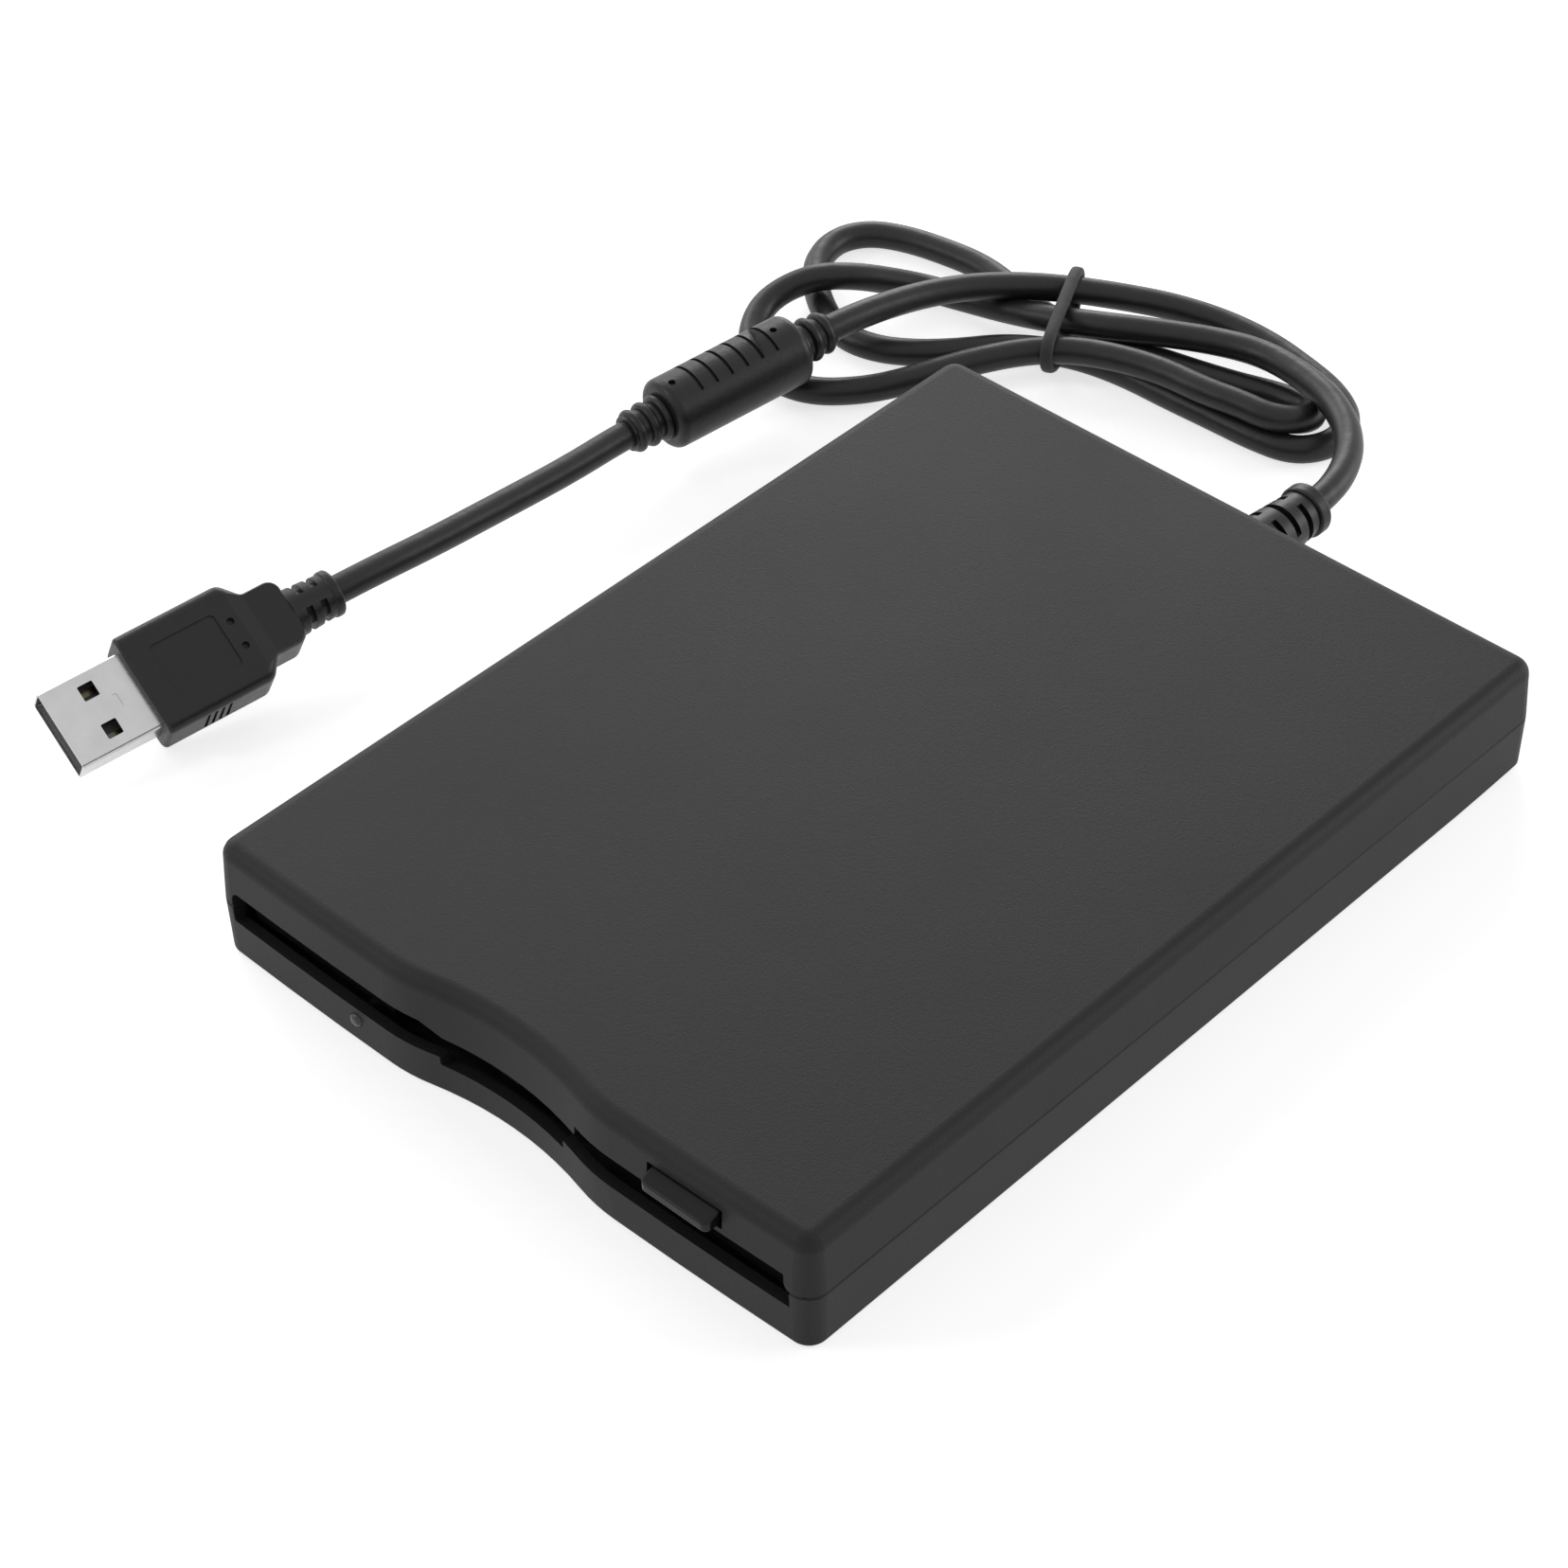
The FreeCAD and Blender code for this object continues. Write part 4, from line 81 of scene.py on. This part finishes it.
CORD_RADIUS = 2.1 * MM
CORD_POINTS = [
    (2.3, 86.0, 9.0), (2.3, 90.5, 9.0), (0.0, 97.7, 8.8), (-4.3, 103.9, 8.6),
    (-10.9, 108.8, 8.2), (-18.8, 111.7, 7.6), (-27.0, 113.0, 7.0), (-34.5, 111.2, 6.6),
    (-42.3, 107.5, 6.4), (-49.7, 103.2, 6.4), (-57.7, 100.6, 5.2), (-66.1, 99.8, 3.4),
    (-74.2, 98.8, 2.4), (-80.1, 96.8, 2.6), (-83.3, 92.1, 4.8), (-86.2, 87.4, 6.7),
    (-90.1, 83.6, 6.7), (-92.8, 79.7, 5.4), (-93.5, 75.3, 4.2), (-91.5, 70.5, 3.1),
    (-87.1, 66.4, 2.3), (-80.6, 64.5, 2.15), (-74.7, 66.0, 2.15), (-69.8, 70.4, 2.3),
    (-66.1, 74.7, 3.0), (-62.9, 79.6, 4.0), (-59.4, 85.2, 4.9), (-55.3, 91.2, 5.4),
    (-50.0, 95.9, 5.8), (-43.4, 98.5, 6.2), (-36.1, 100.2, 6.4), (-27.7, 100.5, 6.4),
    (-22.4, 101.5, 6.4), (-17.2, 101.9, 6.2), (-14.3, 104.8, 5.5), (-14.2, 108.7, 4.0),
    (-17.0, 111.5, 2.7), (-22.3, 111.6, 2.15), (-29.1, 109.3, 2.15), (-35.5, 107.7, 2.15),
    (-42.9, 106.2, 2.15), (-51.3, 104.2, 2.15), (-59.8, 103.5, 2.15), (-68.7, 105.6, 2.15),
    (-76.9, 107.5, 2.15), (-84.1, 106.8, 2.15), (-91.1, 105.4, 2.15), (-96.7, 102.6, 2.15),
    (-99.1, 97.6, 2.15), (-97.4, 91.4, 2.15), (-92.7, 86.1, 2.15), (-86.6, 81.8, 2.15),
    (-80.6, 79.5, 2.15), (-75.0, 80.4, 2.15), (-70.1, 83.4, 2.15), (-65.5, 87.9, 2.15),
    (-61.5, 93.1, 2.15), (-56.4, 97.0, 2.15), (-50.2, 99.6, 2.15), (-42.9, 100.7, 2.15),
    (-34.7, 100.7, 2.15), (-26.7, 101.0, 2.15), (-19.6, 101.1, 2.15), (-13.2, 102.0, 2.15),
    (-10.1, 105.6, 2.15), (-9.6, 110.1, 2.15), (-12.3, 114.6, 2.15), (-17.7, 117.7, 2.15),
    (-23.7, 119.3, 2.15), (-31.6, 120.9, 2.15), (-39.8, 120.3, 2.6), (-47.4, 117.3, 3.6),
    (-53.9, 112.7, 4.8), (-60.0, 107.6, 6.0), (-65.4, 101.8, 7.2), (-70.0, 95.5, 8.0),
    (-72.9, 88.6, 8.8), (-74.5, 80.9, 9.8), (-75.63, 73.06, 10.38), (-76.91, 65.17, 9.94),
    (-80.92, 40.53, 8.56), (-82.12, 33.14, 8.15), (-82.2, 22.7, 8.2), (-82.9, 10.3, 8.6),
    (-83.4, -2.9, 9.3), (-84.2, -12.5, 9.8), (-85.42, -19.39, 9.34),
]
CORD_STEPS = 6
CORD_ROUNDNESS = 7


class Value:
    """One output of a node; arithmetic on it adds Math nodes."""

    def __init__(self, nodes, socket):
        self.nodes = nodes
        self.socket = socket

    def math(self, operation, first, second=0.0):
        return self.nodes.node("Math", {"operation": operation}, {0: first, 1: second})

    def __add__(self, other):
        return self.math("ADD", self, other)

    def __sub__(self, other):
        return self.math("SUBTRACT", self, other)

    def __rsub__(self, other):
        return self.math("SUBTRACT", other, self)

    def __mul__(self, other):
        return self.math("MULTIPLY", self, other)

    __radd__ = __add__
    __rmul__ = __mul__


class Nodes:
    """The nodes of a material or of the surroundings."""

    def __init__(self, tree):
        self.tree = tree

    def node(self, kind, settings, sockets, output=0):
        """Adds a node, makes its settings, then feeds its sockets values or links."""
        made = self.tree.nodes.new(f"ShaderNode{kind}")
        for word, setting in settings.items():
            setattr(made, word, setting)
        for socket, value in sockets.items():
            self.feed(made.inputs[socket], value)
        return Value(self, made.outputs[output])

    def feed(self, socket, value):
        if isinstance(value, Value):
            self.tree.links.new(value.socket, socket)
        else:
            socket.default_value = value

    def noise(self, scale, detail, roughness=0.5):
        """Smooth noise from 0 to 1 on the object's place, in features to the metre."""
        place = self.node("TexCoord", {}, {}, "Object")
        return self.node("TexNoise", {}, {"Vector": place, "Scale": scale,
                                          "Detail": detail, "Roughness": roughness})

    def between(self, share, low, high):
        """Value that runs from low to high as a share goes from 0 to 1."""
        return share * (high - low) + low

    def tint(self, share, low, high):
        """Colour that runs from one to another as a share goes from 0 to 1."""
        return self.node("Mix", {"data_type": "RGBA"},
                         {"Factor": share, 6: (*low, 1), 7: (*high, 1)}, 2)


class Finish(Nodes):
    """A material: a Principled shader with plain constants and a few linked sockets."""

    def __init__(self, name, **constants):
        self.material = bpy.data.materials.new(name)
        self.material.use_nodes = True
        super().__init__(self.material.node_tree)
        self.shader = self.tree.nodes["Principled BSDF"]
        for word, constant in constants.items():
            self.shader.inputs[word.replace("_", " ")].default_value = constant

    def shade(self, socket, value):
        self.feed(self.shader.inputs[socket], value)

    def vary(self, tones, gloss):
        """Base colour and roughness that drift with smooth noise.

        Each is given by its noise's scale and detail, and then its two ends.
        """
        scale, detail, dark, light = tones
        self.shade("Base Color", self.tint(self.noise(scale, detail), dark, light))
        scale, detail, low, high = gloss
        self.shade("Roughness", self.between(self.noise(scale, detail), low, high))

    def bump(self, height, strength, depth):
        """Fine relief, its depth in metres."""
        self.shade("Normal", self.node("Bump", {}, {"Height": height, "Strength": strength,
                                                    "Distance": depth}))

    def cover(self, *pieces):
        """Gives this finish to objects, or to CAD nodes by name."""
        for piece in pieces:
            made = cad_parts[piece] if isinstance(piece, str) else piece
            made.data.materials.clear()
            made.data.materials.append(self.material)


def grey(level):
    return (level, level, level)


pvc = Finish("cord_pvc", IOR=1.5, Specular_IOR_Level=0.35)
pvc.vary((60, 2, grey(0.010), grey(0.016)), (300, 3, 0.36, 0.48))
pvc.bump(pvc.noise(420, 2), 0.25, 0.0004)


def cord_line(points, name):
    """One NURBS line of order 3 through control points, as a tube."""
    data = bpy.data.curves.new(name, "CURVE")
    data.dimensions = "3D"
    data.resolution_u = CORD_STEPS
    data.bevel_depth = CORD_RADIUS
    data.bevel_resolution = CORD_ROUNDNESS
    data.use_fill_caps = True
    spline = data.splines.new("NURBS")
    spline.points.add(len(points) - 1)
    for control, point in zip(spline.points, points):
        control.co = (*[part * MM for part in point], 1)
    spline.order_u = 3
    spline.use_endpoint_u = True
    piece = bpy.data.objects.new(name, data)
    bpy.context.scene.collection.objects.link(piece)
    return piece


cord = cord_line(CORD_POINTS, "cord")
pvc.cover(cord)
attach(cord, "casing")
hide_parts("cord_device_end", "cord_bead_end", "cord_in_bead", "cord_plug_end",
            "cord_hank")

# --- Rubber ring round the bundle ---
# A plain black ring of soft rubber, rolled over the loops to hold them together.
# Its section is rounded.  The pads under the casing are of the same rubber.

TIE_CENTRE = np.array([-56.2, 101.7])
TIE_WAY = np.array([-0.456, 0.890])
TIE_WIDE = 1.9
TIE_THICK = 1.5
TIE_SQUARENESS = 0.7
TIE_ROUND = [(-11.5, 5.8), (-10.4, 3.7), (-8.0, 2.0), (-5.4, 1.0), (-1.5, 0.8), (2.4, 0.9),
             (4.7, 1.4), (6.7, 2.3), (8.8, 3.8), (9.9, 5.9), (9.2, 7.8), (7.2, 8.6),
             (3.2, 8.8), (-0.8, 8.8), (-4.8, 8.7), (-8.7, 8.5), (-10.9, 7.7)]


def ring_strap(outline, wide, thick, turns=96, around=16):
    """Closed strap: a rounded section is carried round a smooth closed outline.

    The outline is a periodic cubic through its corners.  The section is a
    superellipse: its cosine and sine are raised to a power below 1, then scaled
    to be wide along the strap's axis and thick outwards.
    """
    corners = np.array(outline, float)
    count = len(corners)
    step = np.linspace(0, count, turns, endpoint=False)
    index = np.floor(step).astype(int)
    share = (step - index)[:, None]
    a, b, c, d = (corners[(index + shift) % count] for shift in (-1, 0, 1, 2))
    line = 0.5 * (2 * b + (c - a) * share + (2 * a - 5 * b + 4 * c - d) * share ** 2
                  + (3 * b - a - 3 * c + d) * share ** 3)
    ahead = np.roll(line, -1, axis=0) - np.roll(line, 1, axis=0)
    out = np.stack([ahead[:, 1], -ahead[:, 0]], 1)
    out /= np.linalg.norm(out, axis=1)[:, None]
    angle = np.linspace(0, 2 * np.pi, around, endpoint=False)
    side, lift = (np.sign(wave) * np.abs(wave) ** TIE_SQUARENESS * size / 2
                  for wave, size in ((np.cos(angle), wide), (np.sin(angle), thick)))
    ring = line[:, None, :] + out[:, None, :] * lift[None, :, None]
    return ring, np.broadcast_to(side, ring.shape[:2])


def closed_grid(name, points):
    """Mesh of a grid of points in metres, whose rows and columns both close."""
    rows, columns = points.shape[:2]
    number = np.arange(rows * columns).reshape(rows, columns)
    u = np.pad(number, (0, 1), mode="wrap")
    quads = np.stack([u[:-1, :-1], u[:-1, 1:], u[1:, 1:], u[1:, :-1]], -1).reshape(-1, 4)
    data = bpy.data.meshes.new(name)
    data.from_pydata(points.reshape(-1, 3).tolist(), [], quads.tolist())
    data.update()
    data.polygons.foreach_set("use_smooth", [True] * len(data.polygons))
    piece = bpy.data.objects.new(name, data)
    bpy.context.scene.collection.objects.link(piece)
    return piece


ring, side = ring_strap(TIE_ROUND, TIE_WIDE, TIE_THICK)
across = np.array([TIE_WAY[1], -TIE_WAY[0]])
flat = TIE_CENTRE + ring[..., :1] * TIE_WAY + side[..., None] * across
tie = closed_grid("cord_tie", np.concatenate([flat, ring[..., 1:]], -1) * MM)
rubber = Finish("soft_rubber", IOR=1.45, Specular_IOR_Level=0.3)
rubber.vary((500, 3, grey(0.045), grey(0.065)), (900, 3, 0.55, 0.75))
rubber.bump(rubber.noise(2600, 3), 0.3, 0.0001)
rubber.cover(tie, "rubber_pads")
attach(tie, "casing")
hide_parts("hank_tie")

# --- Boots, filter bead and plug on the cord ---
# All are the same soft black PVC, moulded over the cord; the bead holds a
# ferrite tube and the plug a nickel-plated shell.

moulded = Finish("moulded_pvc", IOR=1.5, Specular_IOR_Level=0.3)
moulded.vary((200, 3, grey(0.012), grey(0.018)), (700, 3, 0.34, 0.46))
moulded.bump(moulded.noise(1500, 3), 0.25, 0.00015)
moulded.cover("cord_boot", "bead_moulding", "plug_overmould")

nickel = Finish("nickel_plate", Metallic=1.0)
nickel.vary((300, 3, grey(0.46), grey(0.58)), (1200, 4, 0.20, 0.32))
nickel.bump(nickel.noise(5000, 3), 0.15, 0.00003)
nickel.cover("plug_shell")

tongue = Finish("tongue_nylon")
tongue.vary((800, 2, grey(0.05), grey(0.08)), (900, 2, 0.4, 0.5))
tongue.cover("plug_tongue")

# The contacts' gold is painted far darker than plated gold: this is painted shade for the
# dark inside of the plug's windows.
gold_in_painted_shade = Finish("contact_gold_in_painted_shade", Metallic=1.0)
gold_in_painted_shade.vary((900, 2, (0.09, 0.075, 0.05), (0.13, 0.11, 0.075)), (2000, 2, 0.2, 0.3))
gold_in_painted_shade.cover("plug_contacts")

ferrite = Finish("ferrite")
ferrite.vary((900, 4, grey(0.03), grey(0.05)), (2000, 2, 0.6, 0.8))
ferrite.cover("ferrite_core")

# --- Casing ---
# Two black ABS mouldings, spark-eroded outside to a fine matt grain.  They meet
# at the parting line, are drafted away from it, and are screwed from below.

casing = Finish("casing_abs", IOR=1.5, Specular_IOR_Level=0.25)
casing.vary((25, 3, grey(0.011), grey(0.014)), (40, 4, 0.50, 0.58))
casing.bump(casing.noise(3200, 3, 0.6), 0.35, 0.00012)

CORNER_X = 48.5
CORNER_Y = -67.498
CORNER_RADIUS = 3.0
PARTING_Z = 8.8
BASE_DRAFT = np.radians(1.9)
COVER_DRAFT = np.radians(2.8)
EDGE_RADIUS = 2.2
EDGE_Z = 15.8
SKIN_PLAY = 0.02


def trimmed_half(name, node):
    """Copy of one half whose slot posts end at the casing's rounded front corners.

    Round each front corner the skin is a circle.  Its radius shrinks with the
    draft away from the parting line, and at the top it follows the edge's arc,
    which is tangent to the drafted wall.  Points outside the circle slide in
    along its radius.
    """
    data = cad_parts[node].data.copy()
    data.name = name
    points = np.empty(len(data.vertices) * 3)
    data.vertices.foreach_get("co", points)
    points = points.reshape(-1, 3) / MM
    side = np.abs(points[:, 0]) - CORNER_X
    ahead = CORNER_Y - points[:, 1]
    reach = np.hypot(side, ahead)
    above = points[:, 2] - PARTING_Z
    draft = np.where(above > 0, above * np.tan(COVER_DRAFT), -above * np.tan(BASE_DRAFT))
    rise = np.clip(points[:, 2] - EDGE_Z, 0, EDGE_RADIUS)
    edge = ((EDGE_Z - PARTING_Z) * np.tan(COVER_DRAFT) + EDGE_RADIUS / np.cos(COVER_DRAFT)
            - np.sqrt(EDGE_RADIUS ** 2 - rise ** 2))
    skin = CORNER_RADIUS - np.where(rise > EDGE_RADIUS * np.sin(COVER_DRAFT), edge, draft)
    outside = (side > 0) & (ahead > 0) & (reach > skin + SKIN_PLAY)
    share = np.divide(skin, reach, out=np.ones_like(reach), where=outside)
    points[:, 0] = np.sign(points[:, 0]) * np.where(outside, CORNER_X + side * share,
                                                    np.abs(points[:, 0]))
    points[:, 1] = np.where(outside, CORNER_Y - ahead * share, points[:, 1])
    data.vertices.foreach_set("co", (points * MM).ravel())
    data.update()
    half = bpy.data.objects.new(name, data)
    bpy.context.scene.collection.objects.link(half)
    casing.cover(half)
    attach(half, "casing")
    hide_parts(node)


trimmed_half("casing_base", "base_shell")
trimmed_half("casing_cover", "top_cover")

# --- Eject button and flaps ---
# Smooth black ABS, polished in the mould.  The button's stem goes back to the
# eject plate, and the flaps hang in bearings in the upper half.

# This black is partly the ABS's own and partly painted shade: it is made darker so the flaps
# read as lying in the shade of the slot, and the button takes the same darker black.
smooth = Finish("smooth_abs_and_painted_shade", IOR=1.5, Specular_IOR_Level=0.22)
smooth.vary((100, 3, grey(0.006), grey(0.009)), (300, 3, 0.26, 0.36))
smooth.cover("eject_button", "dust_flap_left", "dust_flap_right")

# --- Frame, carrier, eject plate and latch ---
# Steel sheet, blanked, folded and zinc-plated.  The plate slides on the frame, and
# its ramps let the carrier down.  The motors' cans have the same finish.

zinc = Finish("zinc_plate", Metallic=1.0)
zinc.vary((180, 4, grey(0.45), grey(0.58)), (600, 4, 0.32, 0.48))
zinc.cover("frame", "disk_carrier", "eject_plate", "latch_lever", "rotor", "hub_table",
           "stepper_motor")

# --- Posts, rods, spring and screws ---
# Bright steel: turned posts, drawn rods, the lever's wound spring, and the screws
# that hold the frame and the casing.

steel = Finish("turned_steel", Metallic=1.0)
steel.vary((900, 3, grey(0.50), grey(0.60)), (1500, 3, 0.18, 0.28))
steel.cover("lever_post", "lever_spring", "guide_rod", "lead_screw", "arm_pin", "drive_pin",
            "frame_screws", "cover_screws")

# --- Spindle motor ---
# A flat motor: a sintered bearing, a ring of enamelled coils round it, and a ring
# of plastic-bound magnet inside the turning can.

sintered = Finish("sintered_bronze", Metallic=1.0)
sintered.vary((2500, 3, (0.35, 0.22, 0.10), (0.46, 0.30, 0.15)), (2500, 3, 0.4, 0.6))
sintered.cover("spindle_bearing")

magnet = Finish("plastic_magnet")
magnet.vary((900, 3, grey(0.04), grey(0.06)), (900, 3, 0.6, 0.7))
magnet.cover("ring_magnet")

copper = Finish("enamelled_copper", Metallic=1.0)
copper.vary((4000, 2, (0.50, 0.20, 0.08), (0.66, 0.30, 0.14)), (4000, 2, 0.25, 0.4))
copper.cover("stator_coils")

# --- Boards and chips ---
# Green glass-epoxy boards with black moulded chips, for the motor, for control and
# for the cord's signals.

board = Finish("green_board")
board.vary((700, 4, (0.010, 0.075, 0.030), (0.020, 0.120, 0.050)), (1500, 2, 0.3, 0.45))
board.cover("motor_board", "usb_board", "control_board")

chip = Finish("chip_epoxy")
chip.vary((2500, 3, grey(0.018), grey(0.030)), (2500, 3, 0.5, 0.65))
chip.cover("board_chips")

# --- Header and plungers ---
# Small white nylon mouldings: the header that takes the cord's wires, and the
# plungers that feel the disk and its notches.

nylon = Finish("white_nylon")
nylon.vary((900, 2, (0.62, 0.60, 0.54), (0.70, 0.68, 0.62)), (900, 2, 0.4, 0.55))
nylon.cover("cord_header", "plunger_write", "plunger_density", "plunger_disk")

# --- Carriage, arm, switch housings and heads ---
# Black glass-filled mouldings, stiff enough to carry the two ground ceramic heads
# and to house the switches.

filled = Finish("glass_filled_moulding")
filled.vary((1500, 4, grey(0.03), grey(0.05)), (1500, 3, 0.45, 0.6))
filled.cover("head_carriage", "upper_arm", "switch_housings")

ceramic = Finish("head_ceramic")
ceramic.vary((900, 2, (0.55, 0.50, 0.42), (0.62, 0.57, 0.48)), (900, 2, 0.15, 0.25))
ceramic.cover("lower_head", "upper_head")

# --- Status lens ---
# A short light pipe of dark tinted acrylic, set in the lower half's front wall
# ahead of a small LED.

lens = Finish("tinted_acrylic", IOR=1.49)
lens.vary((900, 2, (0.020, 0.022, 0.020), (0.030, 0.034, 0.030)), (900, 2, 0.10, 0.16))
lens.cover("status_lens")

led = Finish("led_epoxy")
led.vary((900, 2, (0.35, 0.50, 0.32), (0.42, 0.58, 0.38)), (900, 2, 0.2, 0.3))
led.cover("status_led")

# --- Table, lamps and surroundings ---
# A white table in even white surroundings.  Soft boxes behind, to the left, in
# front and to the right give the casing its sheen and the table its shadow.

TABLE_HALF = 1.5
TABLE_WHITE = 0.80
TABLE_GLOW = 0.70
SKY_LIGHT = 0.30
SKY_SEEN = 1.0
LAMPS = {
    "lamp_rear": ((-0.72, 0.85, 0.42), 0.5, 3.7),
    "lamp_side": ((-1.00, 0.20, 0.50), 0.5, 3.1),
    "lamp_front": ((-0.60, -0.72, 0.58), 0.22, 1.5),
    "lamp_right": ((0.60, 0.95, 0.28), 0.5, 2.8),
    "lamp_edge": ((0.72, 0.60, 0.55), 0.22, 0.8),
}


def looked_at(nodes):
    """1 on rays from the camera, straight or by way of gloss or glass, and 0 on light."""
    rays = [nodes.node("LightPath", {}, {}, f"Is {kind} Ray")
            for kind in ("Camera", "Glossy", "Transmission")]
    return nodes.node("Math", {"operation": "ADD", "use_clamp": True},
                      {0: rays[0] + rays[1], 1: rays[2]})


def white_table():
    """Square sheet under the object; it glows to the eye, but lights nothing."""
    half = TABLE_HALF
    data = bpy.data.meshes.new("table")
    data.from_pydata([(-half, -half, 0), (half, -half, 0), (half, half, 0), (-half, half, 0)],
                     [], [(0, 1, 2, 3)])
    table = bpy.data.objects.new("table", data)
    bpy.context.scene.collection.objects.link(table)
    paper = Finish("table_paper", Roughness=1.0, Specular_IOR_Level=0.0,
                   Base_Color=(*grey(TABLE_WHITE), 1), Emission_Strength=1.0)
    paper.shade("Emission Color", paper.tint(looked_at(paper), grey(0.0), grey(TABLE_GLOW)))
    paper.cover(table)


def soft_lamp(name, place, size, power):
    """Square soft box that faces the object; place and size in metres, power in watts."""
    data = bpy.data.lights.new(name, "AREA")
    data.shape = "SQUARE"
    data.size = size
    data.energy = power
    lamp = bpy.data.objects.new(name, data)
    bpy.context.scene.collection.objects.link(lamp)
    turn = (-Vector(place)).to_track_quat("-Z", "Y").to_matrix().to_4x4()
    lamp.matrix_world = Matrix.Translation(place) @ turn


def white_world():
    """Even surroundings: one level lights the object, another is what is seen of them."""
    world = bpy.data.worlds.new("World")
    bpy.context.scene.world = world
    world.use_nodes = True
    sky = Nodes(world.node_tree)
    backdrop = sky.tree.nodes["Background"]
    backdrop.inputs["Color"].default_value = (*grey(1.0), 1)
    sky.feed(backdrop.inputs["Strength"], sky.between(looked_at(sky), SKY_LIGHT, SKY_SEEN))


white_table()
for name, (place, size, power) in LAMPS.items():
    soft_lamp(name, place, size, power)
white_world()
bpy.context.scene.view_settings.view_transform = "Standard"
